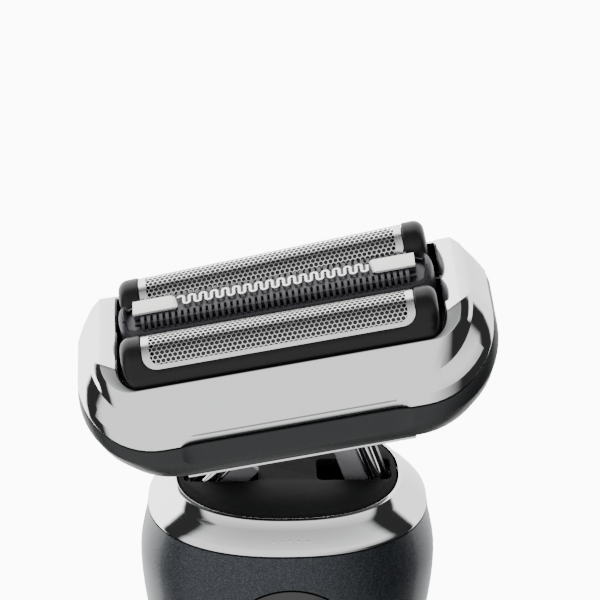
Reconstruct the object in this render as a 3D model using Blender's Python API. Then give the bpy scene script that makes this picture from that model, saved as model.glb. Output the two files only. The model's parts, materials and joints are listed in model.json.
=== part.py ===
"""Electric foil shaver: a flexing head on a four-bar neck, over a slim upright handle.

The frame is metres, +Z up, with the origin at the middle of the flat foot.
+X is the shaver's right as its front, which faces -Y, is looked at.
"""

import math

import bmesh
import bpy
from mathutils import Matrix, Vector

MM = 0.001

# ---- Handle ---------------------------------------------------------------------------------
HANDLE_HEIGHT = 126.0 * MM          # foot to the top of the neck plate
SHOULDER_HALF_WIDTH = 23.3 * MM
SHOULDER_DROP = 13.0 * MM           # widest level, below the neck plate
CELL_RADIUS = 7.0 * MM              # the battery cell sets how slim the handle can be
WAIST_ROOM = 11.4 * MM              # from the cell's side to the outside of the handle
WAIST_HALF_WIDTH = CELL_RADIUS + WAIST_ROOM
WAIST_HEIGHT = 78.0 * MM
BELLY_ROOM = 12.2 * MM
BELLY_HALF_WIDTH = CELL_RADIUS + BELLY_ROOM
BELLY_HEIGHT = 40.0 * MM
FOOT_ROOM = 10.6 * MM
FOOT_HALF_WIDTH = CELL_RADIUS + FOOT_ROOM
FOOT_ROUNDING = 1.5 * MM
FOOT_EDGE_SHARES = (0.0, 0.3, 1.0)  # levels of the rounded edge, as shares of the rounding
DEPTH_RATIO = 0.85                  # depth of the handle over its width
HANDLE_SQUARENESS = 2.3             # 2 is an ellipse, more is squarer
SHELL_WALL = 1.6 * MM
FOOT_CAP_HEIGHT = 5.0 * MM
FOOT_CAP_FLOOR = 1.6 * MM

COLLAR_HALF_WIDTH = 22.06 * MM
COLLAR_DROP = 4.7 * MM              # lower edge of the collar, below the neck plate
COLLAR_WALL = 1.5 * MM
COLLAR_CROWN_OUT = 0.5 * MM         # how far the collar bulges between its edges
COLLAR_CROWN_UP = 0.3 * MM
RIDGE_HALF_WIDTH = 18.4 * MM
RIDGE_DROP = 0.8 * MM
NECK_PLATE_HALF_WIDTH = 17.2 * MM
NECK_PLATE_THICKNESS = 1.3 * MM

PANEL_HALF_WIDTH = 10.6 * MM
PANEL_TOP_DROP = 10.4 * MM          # top of the panel's arch, below the neck plate
PANEL_BOTTOM = 20.0 * MM
PANEL_THICKNESS = 0.9 * MM
GRIP_HALF_WIDTH = 12.0 * MM
GRIP_TOP_DROP = 16.0 * MM
GRIP_BOTTOM = 22.0 * MM
ARCH_TIP_HALF_WIDTH = 0.4 * MM      # flat left at the very top of each inlay's arch

BUTTON_RADIUS = 6.5 * MM
BUTTON_DROP = 40.0 * MM             # button centre, below the neck plate
BUTTON_TRAVEL = 0.8 * MM
BUTTON_PROUD = 0.9 * MM
BUTTON_DOME = ((0.0, 0.72), (0.4 * MM, 0.93), (0.9 * MM, 1.0))  # depth behind the face, share of the radius
BUTTON_SIDES = 24
BUTTON_STEM_RADIUS = 1.2 * MM
SWITCH_HALF_WIDTH = 2.4 * MM
SWITCH_HEIGHT = 2.4 * MM
LENS_HALF_WIDTH = 5.0 * MM
LENS_HALF_HEIGHT = 9.0 * MM
LENS_HEIGHT = 46.0 * MM
LENS_THICKNESS = 0.7 * MM

SOCKET_HALF_WIDTH = 4.8 * MM
SOCKET_HALF_DEPTH = 3.2 * MM
SOCKET_DEPTH = 10.0 * MM
SOCKET_OFFSET = 6.2 * MM            # socket centre, behind the middle of the foot
SOCKET_WALL = 1.2 * MM
CONTACT_RADIUS = 0.8 * MM
CONTACT_SPACING = 4.4 * MM
CONTACT_LENGTH = 6.0 * MM

CELL_LENGTH = 50.0 * MM
CELL_BOTTOM = 24.0 * MM
CELL_OFFSET = 1.0 * MM              # cell centre, behind the middle
CELL_CONTACT_THICKNESS = 0.4 * MM
CELL_CONTACT_HALF_WIDTH = 4.0 * MM
CELL_CONTACT_HALF_DEPTH = 3.0 * MM
CHASSIS_WALL = 1.2 * MM
CHASSIS_SIDE_ROOM = 2.8 * MM        # between the cell and the chassis wall beside it
CHASSIS_HALF_WIDTH = CELL_RADIUS + CHASSIS_SIDE_ROOM + CHASSIS_WALL
CHASSIS_TOP_DROP = 8.0 * MM         # below the handle's widest level
CHASSIS_LIFT = 3.0 * MM             # above the charging socket
BOARD_THICKNESS = 1.2 * MM
BOARD_HALF_WIDTH = 8.0 * MM

# ---- Neck: a four-bar linkage ---------------------------------------------------------------
GROUND_PIVOT_X = 15.4 * MM
GROUND_PIVOT_DROP = 3.6 * MM        # below the neck plate's top
COUPLER_PIVOT_X = 8.2 * MM
COUPLER_PIVOT_RISE = 9.0 * MM       # above the neck plate's top, with the head level
ARM_HALF_THICKNESS = 1.25 * MM
ARM_HALF_DEPTH = 1.2 * MM
EYE_RADIUS = 1.9 * MM
OPEN_EYE_RADIUS = 2.5 * MM          # the right arm's top eye, which floats on its pin
PIN_RADIUS = 0.9 * MM
OPEN_PIVOT_CLEARANCE = 0.6 * MM
ARM_BAR_RADIUS = 0.75 * MM
ARM_BAR_START = 3.5 * MM            # above the lower pivot
CHEEK = 1.6 * MM                    # wall on each side of an arm's eye
WEB_REACH = 5.2 * MM                # how far each arm's web reaches inwards
WEB_THICKNESS = 1.0 * MM
WEB_LOW = 3.0 * MM
WEB_HIGH = 10.5 * MM
BRACKET_FLOOR = 2.0 * MM
BRACKET_POST_HALF = 1.9 * MM
CARRIER_CENTRE_HALF = 4.5 * MM      # solid middle of the carrier, between its forks
CARRIER_HALF_HEIGHT = 1.9 * MM
NECK_SLOT_INNER = 4.6 * MM          # the neck plate's slots, from the middle
NECK_SLOT_OUTER = 16.3 * MM

HEAD_ROLL = math.radians(10.44)     # right end up
HEAD_PITCH = math.radians(6.45)     # top forward
REAR_ROCK = math.radians(2.0)       # the rear cartridge rocks a little in its seat

SWIVEL_RISE = 2.8 * MM              # head swivel axis above the coupler pivots
SWIVEL_DROP = 7.2 * MM              # head swivel axis below the head's own origin
SWIVEL_PIN_RADIUS = 0.8 * MM
SWIVEL_LUG_RADIUS = 1.9 * MM
SWIVEL_TAB_HALF = 2.2 * MM
SWIVEL_LUG_WIDTH = 1.8 * MM

# ---- Head -----------------------------------------------------------------------------------
FOIL_RADIUS = 4.0 * MM
TRIMMER_HALF_DEPTH = 4.3 * MM
FOIL_CLEARANCE = 0.42 * MM          # between each cartridge and the trimmer
FOIL_SPACING = TRIMMER_HALF_DEPTH + FOIL_CLEARANCE + FOIL_RADIUS    # foil centre lines from the middle
RIM_CLEARANCE = 0.38 * MM           # between each cartridge and the inside of the frame's rim
RIM_WALL = 0.4 * MM
RIM_HALF_DEPTH = FOIL_SPACING + FOIL_RADIUS + RIM_CLEARANCE + RIM_WALL
BEVEL_DEPTH = 4.7 * MM              # from the rim out to the widest outline
HEAD_HALF_DEPTH = RIM_HALF_DEPTH + BEVEL_DEPTH
CARTRIDGE_HALF_LENGTH = 24.2 * MM
RIM_END_CLEARANCE = 0.8 * MM        # between each cartridge's end and the inside of the rim
RIM_HALF_WIDTH = CARTRIDGE_HALF_LENGTH + RIM_END_CLEARANCE + RIM_WALL
BEVEL_WIDTH = 7.2 * MM              # from the rim's end out to the widest outline
HEAD_HALF_WIDTH = RIM_HALF_WIDTH + BEVEL_WIDTH
HEAD_WALL = 1.5 * MM
BASE_FLOOR_LEVEL = -4.9 * MM
BASE_FLOOR_THICKNESS = 1.0 * MM
BASE_FLOOR_INSET_X = 7.0 * MM       # the underside's flat, in from the widest outline
BASE_FLOOR_INSET_Y = 4.0 * MM
BASE_FLOOR_CORNER = 9.0 * MM
BASE_BILGE_INSET_X = 2.6 * MM       # where the underside turns up into the sides
BASE_BILGE_INSET_Y = 1.3 * MM
BASE_BILGE_CORNER = 12.0 * MM
BASE_BILGE_RISE = 0.5 * MM          # above the floor level
BASE_BILGE_END_LEVEL = 0.2 * MM
BASE_WIDEST_CORNER = 12.5 * MM
BASE_WIDEST_LEVEL = -0.9 * MM
BASE_WIDEST_END_LEVEL = 5.3 * MM
BASE_HOLLOW_INSET_X = 7.6 * MM
BASE_HOLLOW_INSET_Y = 3.6 * MM
BASE_HOLLOW_CORNER = 7.0 * MM
SCREW_BOSS_RADIUS = 2.2 * MM
PARTING_LEVEL = 1.5 * MM
PARTING_END_LEVEL = 7.9 * MM
PARTING_INSET = 0.5 * MM            # edge of the parting line, in from the widest outline
PARTING_CORNER = 12.0 * MM
CREASE_LEVEL = 5.4 * MM
CREASE_END_LEVEL = 12.5 * MM
CREASE_INSET_X = 3.1 * MM
CREASE_INSET_Y = 2.2 * MM
CREASE_CORNER = 10.0 * MM
RIM_LEVEL = 10.1 * MM
RIM_END_LEVEL = 12.7 * MM
RIM_CORNER = 3.4 * MM

COVER_LEVEL = 0.6 * MM              # underside of the motor cover
COVER_THICKNESS = 0.6 * MM
COVER_INSET_Y = 4.4 * MM
COVER_CORNER = 8.0 * MM
TRAY_LEVEL = 1.5 * MM               # underside of the cassette's tray
TRAY_THICKNESS = 0.6 * MM
TRAY_HEIGHT = 1.5 * MM
TRAY_WALL = 0.8 * MM
TRAY_CORNER = 4.0 * MM

# ---- Shaving parts --------------------------------------------------------------------------
FOIL_THICKNESS = 0.25 * MM
FOIL_LEVEL = 11.9 * MM              # centre of the foil's arch
FOIL_LEG = 0.2 * MM                 # straight edge under the arch
CARTRIDGE_CAP = 3.45 * MM           # solid end beyond the foil
FOIL_HALF_LENGTH = CARTRIDGE_HALF_LENGTH - CARTRIDGE_CAP
CARTRIDGE_BOTTOM = 4.6 * MM
CARTRIDGE_WALL = 0.35 * MM
CARTRIDGE_END_TAPER = 1.3 * MM
CARTRIDGE_END_DEPTH_SHARE = 0.7     # of the full section, at the very end
CARTRIDGE_END_HEIGHT_SHARE = 0.92
CUTTER_CLEARANCE = 0.25 * MM
CUTTER_END_ROOM = 0.65 * MM         # left at the end of the stroke
CUTTER_BOTTOM = 8.2 * MM
CUTTER_WALL = 0.8 * MM
CUTTER_SOCKET_SLACK = 0.4 * MM      # lets the head rock on the drive pin
STROKE = 1.0 * MM
CUTTER_HALF_LENGTH = FOIL_HALF_LENGTH - STROKE - CUTTER_END_ROOM
FLOAT_TRAVEL = 1.5 * MM

TRIMMER_OVERHANG = 0.2 * MM         # the trimmer is this much longer than the cartridges, at each end
TRIMMER_HALF_LENGTH = CARTRIDGE_HALF_LENGTH + TRIMMER_OVERHANG
TRIMMER_TOP = 16.1 * MM
TRIMMER_SHOULDER = 14.2 * MM
TRIMMER_BOTTOM = 4.6 * MM
TRIMMER_WINDOW_HALF = 20.5 * MM
TRIMMER_CHAMFER = 0.6 * MM
TRIMMER_WALL = 1.0 * MM
TRIMMER_ROOF = 2.6 * MM             # from the hollow's top to the underside of the guard
COMB_END_INSET = 1.4 * MM
BLADE_HALF_DEPTH = 3.3 * MM
BLADE_THICKNESS = 0.5 * MM
GUARD_THICKNESS = 0.5 * MM
END_PLATE_LENGTH = 7.0 * MM
END_PLATE_HALF_DEPTH = 1.9 * MM
STRIP_HALF_LENGTH = 14.5 * MM
STRIP_HALF_DEPTH = 2.0 * MM

# ---- Drive ----------------------------------------------------------------------------------
ARMATURE_HALF_LENGTH = 12.0 * MM
ARMATURE_HALF_DEPTH = 2.4 * MM
ARMATURE_BOTTOM = -3.5 * MM
ARMATURE_TOP = 0.2 * MM
DRIVE_PIN_RADIUS = 1.3 * MM
DRIVE_PIN_TOP = 9.4 * MM
STATOR_HALF_LENGTH = 5.5 * MM
STATOR_HALF_DEPTH = 2.6 * MM
COIL_WIDTH = 2.4 * MM
COIL_BOTTOM = -2.9 * MM
COIL_TOP = -0.4 * MM
COIL_CORNER = 1.0 * MM

RELEASE_HALF_WIDTH = 7.0 * MM
RELEASE_LOW = -2.6 * MM
RELEASE_HIGH = 0.2 * MM
RELEASE_DEPTH = 3.6 * MM
RELEASE_PROUD = 0.5 * MM
RELEASE_CHAMFER_DEPTH = 0.6 * MM
RELEASE_CHAMFER_WIDTH = 0.8 * MM

SPRING_RADIUS = 1.1 * MM
SPRING_WIRE = 0.18 * MM
SPRING_TURNS = 3
SPRING_SPACING = 16.0 * MM
SPRING_SEAT = 4.0 * MM              # how far each spring reaches up inside the trimmer holder
SPRING_SIDES = 5
SPRING_STEPS = 12                   # round each turn

SCREW_SHANK_RADIUS = 0.8 * MM
SCREW_HEAD_RADIUS = 1.5 * MM
SCREW_HEAD_HEIGHT = 0.7 * MM
HEAD_SCREW_SPACING = 20.0 * MM
FOOT_SCREW_SPACING = 10.5 * MM

GAP = 0.3 * MM                      # between pieces that touch
RUNNING_GAP = 0.12 * MM             # round a pin that turns
THROUGH = 2.0 * MM                  # how far a cutter runs past what it cuts

HANDLE_SEGMENTS = 20                # across each half of the handle
HANDLE_ROWS = 14
CORNER_STEPS = 6
ROUND_STEPS = 16
ARCH_STEPS = 10

FINISHES = {
    "satin_shell": ((0.075, 0.085, 0.10), 0.38, 0.55),
    "chrome": ((0.80, 0.81, 0.83), 0.07, 1.0),
    "matt_black": ((0.025, 0.025, 0.027), 0.75, 0.0),
    "gloss_black": ((0.012, 0.012, 0.014), 0.06, 0.0),
    "head_grey": ((0.10, 0.10, 0.11), 0.35, 0.3),
    "satin_black": ((0.03, 0.03, 0.033), 0.42, 0.0),
    "foil_steel": ((0.72, 0.72, 0.70), 0.22, 1.0),
    "cutter_steel": ((0.55, 0.55, 0.56), 0.35, 1.0),
    "trimmer_grey": ((0.12, 0.11, 0.13), 0.45, 0.0),
    "white_metal": ((0.82, 0.82, 0.80), 0.35, 0.0),
    "rubber": ((0.03, 0.03, 0.032), 0.85, 0.0),
    "inner_plastic": ((0.35, 0.36, 0.38), 0.55, 0.0),
    "steel": ((0.60, 0.60, 0.62), 0.30, 1.0),
    "copper": ((0.72, 0.38, 0.22), 0.35, 1.0),
    "board_green": ((0.03, 0.20, 0.09), 0.50, 0.0),
    "cell_wrap": ((0.10, 0.22, 0.42), 0.40, 0.0),
    "lens": ((0.05, 0.05, 0.06), 0.08, 0.0),
}


# ---- Solids ---------------------------------------------------------------------------------
def stack_rings(rings, looped=False):
    """Join rings of equal length into a skin, capped at both ends or looped back to the start."""
    count = len(rings[0])
    points = [point for ring in rings for point in ring]
    faces = []
    last = len(rings) if looped else len(rings) - 1
    for row in range(last):
        following = (row + 1) % len(rings)
        for column in range(count):
            neighbour = (column + 1) % count
            faces.append((row * count + column, row * count + neighbour,
                          following * count + neighbour, following * count + column))
    if not looped:
        faces.append(tuple(range(count)))
        faces.append(tuple(range((len(rings) - 1) * count, len(rings) * count)))
    return points, faces


def thick_patch(outer, inner):
    """Close two equal grids of points, one over the other, into a plate."""
    rings = []
    for outer_row, inner_row in zip(outer, inner):
        rings.append(list(outer_row) + list(reversed(inner_row)))
    return stack_rings(rings)


def box(low, high):
    """A block between two corners."""
    corners = ((low[0], low[1]), (high[0], low[1]), (high[0], high[1]), (low[0], high[1]))
    return stack_rings([[(x, y, low[2]) for x, y in corners], [(x, y, high[2]) for x, y in corners]])


def prism(outline, axis, start, end):
    """Run an outline of two coordinates along the axis x, y or z."""
    def placed(pair, along):
        if axis == "x":
            return (along, pair[0], pair[1])
        if axis == "y":
            return (pair[0], along, pair[1])
        return (pair[0], pair[1], along)
    return stack_rings([[placed(pair, start) for pair in outline], [placed(pair, end) for pair in outline]])


def circle(centre, radius, steps=ROUND_STEPS):
    """Points round a circle in the plane of an outline."""
    turns = [2.0 * math.pi * step / steps for step in range(steps)]
    return [(centre[0] + radius * math.cos(turn), centre[1] + radius * math.sin(turn)) for turn in turns]


def rod(centre, axis, radius, start, end):
    """A round bar along an axis; centre holds its two other coordinates."""
    return prism(circle(centre, radius), axis, start, end)


def coil(centre, radius, wire, turns, low, high):
    """A compression spring as one tube, standing on end."""
    sides = SPRING_SIDES
    steps = SPRING_STEPS * turns
    rings = []
    for step in range(steps + 1):
        turn = 2.0 * math.pi * turns * step / steps
        out = Vector((math.cos(turn), math.sin(turn), 0.0))
        height = low + wire + (high - low - 2.0 * wire) * step / steps
        middle = Vector((centre[0], centre[1], height)) + radius * out
        ring = []
        for side in range(sides):
            angle = 2.0 * math.pi * side / sides
            offset = out * (wire * math.cos(angle)) + Vector((0.0, 0.0, wire * math.sin(angle)))
            ring.append(tuple(middle + offset))
        rings.append(ring)
    return stack_rings(rings)


# ---- Objects --------------------------------------------------------------------------------
def remove_everything():
    """Clear the scene so that the same model is made on each run."""
    for item in list(bpy.data.objects):
        bpy.data.objects.remove(item, do_unlink=True)


def finish_material(name):
    """The material of one finish, made the first time it is asked for."""
    material = bpy.data.materials.get(name)
    if material:
        return material
    colour, roughness, metallic = FINISHES[name]
    material = bpy.data.materials.new(name)
    material.use_nodes = True
    shader = material.node_tree.nodes["Principled BSDF"]
    shader.inputs["Base Color"].default_value = (*colour, 1.0)
    shader.inputs["Roughness"].default_value = roughness
    shader.inputs["Metallic"].default_value = metallic
    return material


def mesh_from(name, solid):
    """A mesh with its faces turned outwards."""
    points, faces = solid
    mesh = bpy.data.meshes.new(name)
    mesh.from_pydata([tuple(point) for point in points], [], faces)
    work = bmesh.new()
    work.from_mesh(mesh)
    bmesh.ops.recalc_face_normals(work, faces=work.faces)
    work.to_mesh(mesh)
    work.free()
    return mesh


def add_piece(name, finish, place, solid):
    """One named sub-part, modelled in the frame of the empty it is parented to."""
    mesh = mesh_from(name, solid)
    mesh.shade_smooth()
    mesh.set_sharp_from_angle(angle=math.radians(35.0))
    mesh.materials.append(finish_material(finish))
    piece = bpy.data.objects.new(name, mesh)
    bpy.context.collection.objects.link(piece)
    piece.parent = place
    return piece


def shape_with(piece, solid, operation):
    """Add or remove a second solid with a Boolean; the cutter itself is a hidden guide."""
    guide = bpy.data.objects.new(piece.name + "_guide", mesh_from(piece.name + "_guide", solid))
    bpy.context.collection.objects.link(guide)
    guide.parent = piece.parent
    guide.hide_render = True
    guide.display_type = "WIRE"
    modifier = piece.modifiers.new(operation.lower(), "BOOLEAN")
    modifier.operation = operation
    modifier.solver = "EXACT"
    modifier.object = guide


def cut(piece, solid):
    shape_with(piece, solid, "DIFFERENCE")


def fuse(piece, solid):
    shape_with(piece, solid, "UNION")


def add_place(name, parent, matrix):
    """An empty on a joint's axis, which carries the pieces of one body."""
    place = bpy.data.objects.new(name, None)
    bpy.context.collection.objects.link(place)
    place.parent = parent
    place.matrix_basis = matrix
    return place


# ---- Neck linkage ---------------------------------------------------------------------------
def arm_length():
    return math.hypot(GROUND_PIVOT_X - COUPLER_PIVOT_X, GROUND_PIVOT_DROP + COUPLER_PIVOT_RISE)


def linkage_at(roll):
    """The two coupler pivots, as (x, z), when the head is rolled: both arms keep their length."""
    ground_z = HANDLE_HEIGHT - GROUND_PIVOT_DROP
    span = Vector((2.0 * COUPLER_PIVOT_X * math.cos(roll), 2.0 * COUPLER_PIVOT_X * math.sin(roll)))
    left_ground = Vector((-GROUND_PIVOT_X, ground_z))
    shifted_right = Vector((GROUND_PIVOT_X, ground_z)) - span
    across = shifted_right - left_ground
    half = across.length / 2.0
    rise = math.sqrt(arm_length() ** 2 - half ** 2)
    upward = Vector((-across.y, across.x)).normalized()
    left = left_ground + across / 2.0 + upward * rise
    return left, left + span


# ---- Handle shape ---------------------------------------------------------------------------
def eased(share):
    share = min(max(share, 0.0), 1.0)
    return share * share * (3.0 - 2.0 * share)


def handle_half_width(height):
    """Half width of the handle's outside at one height, eased between its named levels."""
    collar_level = HANDLE_HEIGHT - COLLAR_DROP
    levels = (
        (0.0, FOOT_HALF_WIDTH - FOOT_ROUNDING),
        (FOOT_ROUNDING, FOOT_HALF_WIDTH),
        (BELLY_HEIGHT, BELLY_HALF_WIDTH),
        (WAIST_HEIGHT, WAIST_HALF_WIDTH),
        (HANDLE_HEIGHT - SHOULDER_DROP, SHOULDER_HALF_WIDTH),
        (collar_level, COLLAR_HALF_WIDTH),
    )
    for (low, low_width), (high, high_width) in zip(levels, levels[1:]):
        if height <= high:
            return low_width + (high_width - low_width) * eased((height - low) / (high - low))
    return COLLAR_HALF_WIDTH


def handle_point(turn, height, inset=0.0):
    """A point of the handle's skin, moved inwards by the inset."""
    half_width = handle_half_width(height)
    half_depth = half_width * DEPTH_RATIO
    return oval_point(turn, half_width - inset, half_depth - inset, height)


def oval_point(turn, half_width, half_depth, height):
    power = 2.0 / HANDLE_SQUARENESS
    across = math.copysign(abs(math.cos(turn)) ** power, math.cos(turn))
    along = math.copysign(abs(math.sin(turn)) ** power, math.sin(turn))
    return (half_width * across, half_depth * along, height)


def oval_ring(half_width, height, inset=0.0):
    """A whole ring of the handle's section, for the collar, the plate and the foot."""
    count = 2 * HANDLE_SEGMENTS
    half_depth = half_width * DEPTH_RATIO
    turns = [2.0 * math.pi * step / count for step in range(count)]
    return [oval_point(turn, half_width - inset, half_depth - inset, height) for turn in turns]


def skin_depth(x, height, inset=0.0):
    """How far the skin stands from the handle's middle plane at one place across it."""
    half_width = handle_half_width(height)
    share = min(abs(x) / (half_width - inset), 1.0)
    curve = (1.0 - share ** HANDLE_SQUARENESS) ** (1.0 / HANDLE_SQUARENESS)
    return (half_width * DEPTH_RATIO - inset) * curve


def spread(low, high, count):
    return [low + (high - low) * step / (count - 1) for step in range(count)]


def inlay(half_width, bottom, top, side, outer_inset, inner_inset, grow=0.0):
    """A plate let into the handle's skin, with a round arch at its top and at its bottom.

    side is -1 for the front and +1 for the back; grow widens the outline for a recess.
    """
    columns = 9
    wide = half_width + grow
    rows = []
    for step in range(ARCH_STEPS + 1):
        lean = math.pi / 2.0 * step / ARCH_STEPS
        rows.append((bottom - grow + wide * (1.0 - math.cos(lean)), wide * math.sin(lean)))
    rows = [(height, max(reach, ARCH_TIP_HALF_WIDTH)) for height, reach in rows]
    upper = [(top + grow + bottom - grow - height, reach) for height, reach in reversed(rows)]
    middle = spread(rows[-1][0], upper[0][0], 8)[1:-1]
    outline = rows + [(height, wide) for height in middle] + upper
    outer = []
    inner = []
    for height, reach in outline:
        places = spread(-reach, reach, columns)
        outer.append([(x, side * skin_depth(x, height, outer_inset), height) for x in places])
        inner.append([(x, side * skin_depth(x, height, inner_inset), height) for x in places])
    return thick_patch(outer, inner)


def half_shell(side):
    """Front (-1) or rear (+1) half of the handle's casing, from the foot cap to the collar."""
    low = FOOT_CAP_HEIGHT + GAP
    high = HANDLE_HEIGHT - COLLAR_DROP - GAP
    margin = math.asin(GAP / 2.0 / (WAIST_HALF_WIDTH * DEPTH_RATIO))
    turns = [side * turn for turn in spread(margin, math.pi - margin, HANDLE_SEGMENTS + 1)]
    heights = spread(low, high, HANDLE_ROWS)
    outer = [[handle_point(turn, height) for turn in turns] for height in heights]
    inner = [[handle_point(turn, height, SHELL_WALL) for turn in turns] for height in heights]
    return thick_patch(outer, inner)


# ---- Handle pieces --------------------------------------------------------------------------
def build_casing(place):
    """Front and rear shells, each with the recess and holes that its inlays need."""
    panel_top = HANDLE_HEIGHT - PANEL_TOP_DROP
    button_height = HANDLE_HEIGHT - BUTTON_DROP
    front = add_piece("front_shell", "satin_shell", place, half_shell(-1))
    cut(front, inlay(PANEL_HALF_WIDTH, PANEL_BOTTOM, panel_top, -1, -THROUGH, PANEL_THICKNESS + GAP, GAP))
    cut(front, rod((0.0, button_height), "y", BUTTON_RADIUS + GAP, -2.0 * SHOULDER_HALF_WIDTH, 0.0))
    rear = add_piece("rear_shell", "satin_shell", place, half_shell(1))
    grip_top = HANDLE_HEIGHT - GRIP_TOP_DROP
    cut(rear, inlay(GRIP_HALF_WIDTH, GRIP_BOTTOM, grip_top, 1, -THROUGH, PANEL_THICKNESS + GAP, GAP))

    panel = inlay(PANEL_HALF_WIDTH, PANEL_BOTTOM, panel_top, -1, 0.0, PANEL_THICKNESS)
    panel = add_piece("front_panel", "gloss_black", place, panel)
    cut(panel, rod((0.0, button_height), "y", BUTTON_RADIUS + GAP, -2.0 * SHOULDER_HALF_WIDTH, 0.0))
    lens_low = LENS_HEIGHT - LENS_HALF_HEIGHT
    lens_high = LENS_HEIGHT + LENS_HALF_HEIGHT
    cut(panel, box((-LENS_HALF_WIDTH - GAP, -2.0 * SHOULDER_HALF_WIDTH, lens_low - GAP),
                   (LENS_HALF_WIDTH + GAP, 0.0, lens_high + GAP)))
    rows = spread(lens_low, lens_high, 4)
    columns = spread(-LENS_HALF_WIDTH, LENS_HALF_WIDTH, 5)
    outer = [[(x, -skin_depth(x, height), height) for x in columns] for height in rows]
    inner = [[(x, -skin_depth(x, height, LENS_THICKNESS), height) for x in columns] for height in rows]
    add_piece("display_lens", "lens", place, thick_patch(outer, inner))

    grip = inlay(GRIP_HALF_WIDTH, GRIP_BOTTOM, grip_top, 1, 0.0, PANEL_THICKNESS)
    add_piece("rear_grip", "rubber", place, grip)


def build_foot(place):
    """The foot cap, the charging socket in it and its two screws."""
    rings = []
    for share in FOOT_EDGE_SHARES:
        height = FOOT_ROUNDING * share
        rings.append([handle_point(turn, height) for turn in full_turn()])
    rings.append([handle_point(turn, FOOT_CAP_HEIGHT) for turn in full_turn()])
    rings.append([handle_point(turn, FOOT_CAP_HEIGHT, SHELL_WALL) for turn in full_turn()])
    rings.append([handle_point(turn, FOOT_CAP_FLOOR, SHELL_WALL) for turn in full_turn()])
    cap = add_piece("foot_cap", "satin_black", place, stack_rings(rings))
    outer_x = SOCKET_HALF_WIDTH + SOCKET_WALL
    outer_y = SOCKET_HALF_DEPTH + SOCKET_WALL
    cut(cap, box((-outer_x - GAP, SOCKET_OFFSET - outer_y - GAP, -THROUGH),
                 (outer_x + GAP, SOCKET_OFFSET + outer_y + GAP, FOOT_CAP_FLOOR + THROUGH)))

    socket_top = SOCKET_DEPTH + SOCKET_WALL
    socket = add_piece("charging_socket", "satin_black", place,
                       box((-outer_x, SOCKET_OFFSET - outer_y, GAP),
                           (outer_x, SOCKET_OFFSET + outer_y, socket_top)))
    cut(socket, box((-SOCKET_HALF_WIDTH, SOCKET_OFFSET - SOCKET_HALF_DEPTH, -THROUGH),
                    (SOCKET_HALF_WIDTH, SOCKET_OFFSET + SOCKET_HALF_DEPTH, SOCKET_DEPTH)))
    for side, name in ((-1, "left"), (1, "right")):
        centre = (side * CONTACT_SPACING / 2.0, SOCKET_OFFSET)
        low = SOCKET_DEPTH - CONTACT_LENGTH / 2.0
        cut(socket, rod(centre, "z", CONTACT_RADIUS + RUNNING_GAP, SOCKET_DEPTH - THROUGH,
                        socket_top + THROUGH))
        add_piece("contact_pin_" + name, "steel", place,
                  rod(centre, "z", CONTACT_RADIUS, low, low + CONTACT_LENGTH))

        screw_x = side * FOOT_SCREW_SPACING
        cut(cap, rod((screw_x, 0.0), "z", SCREW_SHANK_RADIUS + RUNNING_GAP, -THROUGH, FOOT_CAP_FLOOR + THROUGH))
        cut(cap, rod((screw_x, 0.0), "z", SCREW_HEAD_RADIUS + RUNNING_GAP, -THROUGH, SCREW_HEAD_HEIGHT + GAP))
        screw = add_piece("foot_screw_" + name, "steel", place,
                          rod((screw_x, 0.0), "z", SCREW_SHANK_RADIUS, SCREW_HEAD_HEIGHT / 2.0,
                              FOOT_CAP_HEIGHT))
        fuse(screw, rod((screw_x, 0.0), "z", SCREW_HEAD_RADIUS, GAP, SCREW_HEAD_HEIGHT))


def full_turn():
    count = 2 * HANDLE_SEGMENTS
    return [2.0 * math.pi * step / count for step in range(count)]


def build_inside(place):
    """Chassis with the cell in front of it and the circuit board before that."""
    top = HANDLE_HEIGHT - SHOULDER_DROP - CHASSIS_TOP_DROP
    cell_y = CELL_OFFSET
    back = cell_y + CELL_RADIUS + GAP
    front = cell_y - CELL_RADIUS - GAP
    outline = (
        (-CHASSIS_HALF_WIDTH, front), (-CHASSIS_HALF_WIDTH + CHASSIS_WALL, front),
        (-CHASSIS_HALF_WIDTH + CHASSIS_WALL, back), (CHASSIS_HALF_WIDTH - CHASSIS_WALL, back),
        (CHASSIS_HALF_WIDTH - CHASSIS_WALL, front), (CHASSIS_HALF_WIDTH, front),
        (CHASSIS_HALF_WIDTH, back + CHASSIS_WALL), (-CHASSIS_HALF_WIDTH, back + CHASSIS_WALL),
    )
    chassis_bottom = SOCKET_DEPTH + SOCKET_WALL + CHASSIS_LIFT
    add_piece("chassis", "inner_plastic", place, prism(outline, "z", chassis_bottom, top))

    cell_top = CELL_BOTTOM + CELL_LENGTH
    add_piece("battery_cell", "cell_wrap", place, rod((0.0, cell_y), "z", CELL_RADIUS, CELL_BOTTOM, cell_top))
    half_x = CELL_CONTACT_HALF_WIDTH
    half_y = CELL_CONTACT_HALF_DEPTH
    for name, height in (("lower", CELL_BOTTOM - GAP - CELL_CONTACT_THICKNESS), ("upper", cell_top + GAP)):
        add_piece("cell_contact_" + name, "steel", place,
                  box((-half_x, cell_y - half_y, height),
                      (half_x, cell_y + half_y, height + CELL_CONTACT_THICKNESS)))

    board_back = front - GAP
    board_front = board_back - BOARD_THICKNESS
    add_piece("circuit_board", "board_green", place,
              box((-BOARD_HALF_WIDTH, board_front, CELL_BOTTOM), (BOARD_HALF_WIDTH, board_back, top)))
    return board_front


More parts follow.
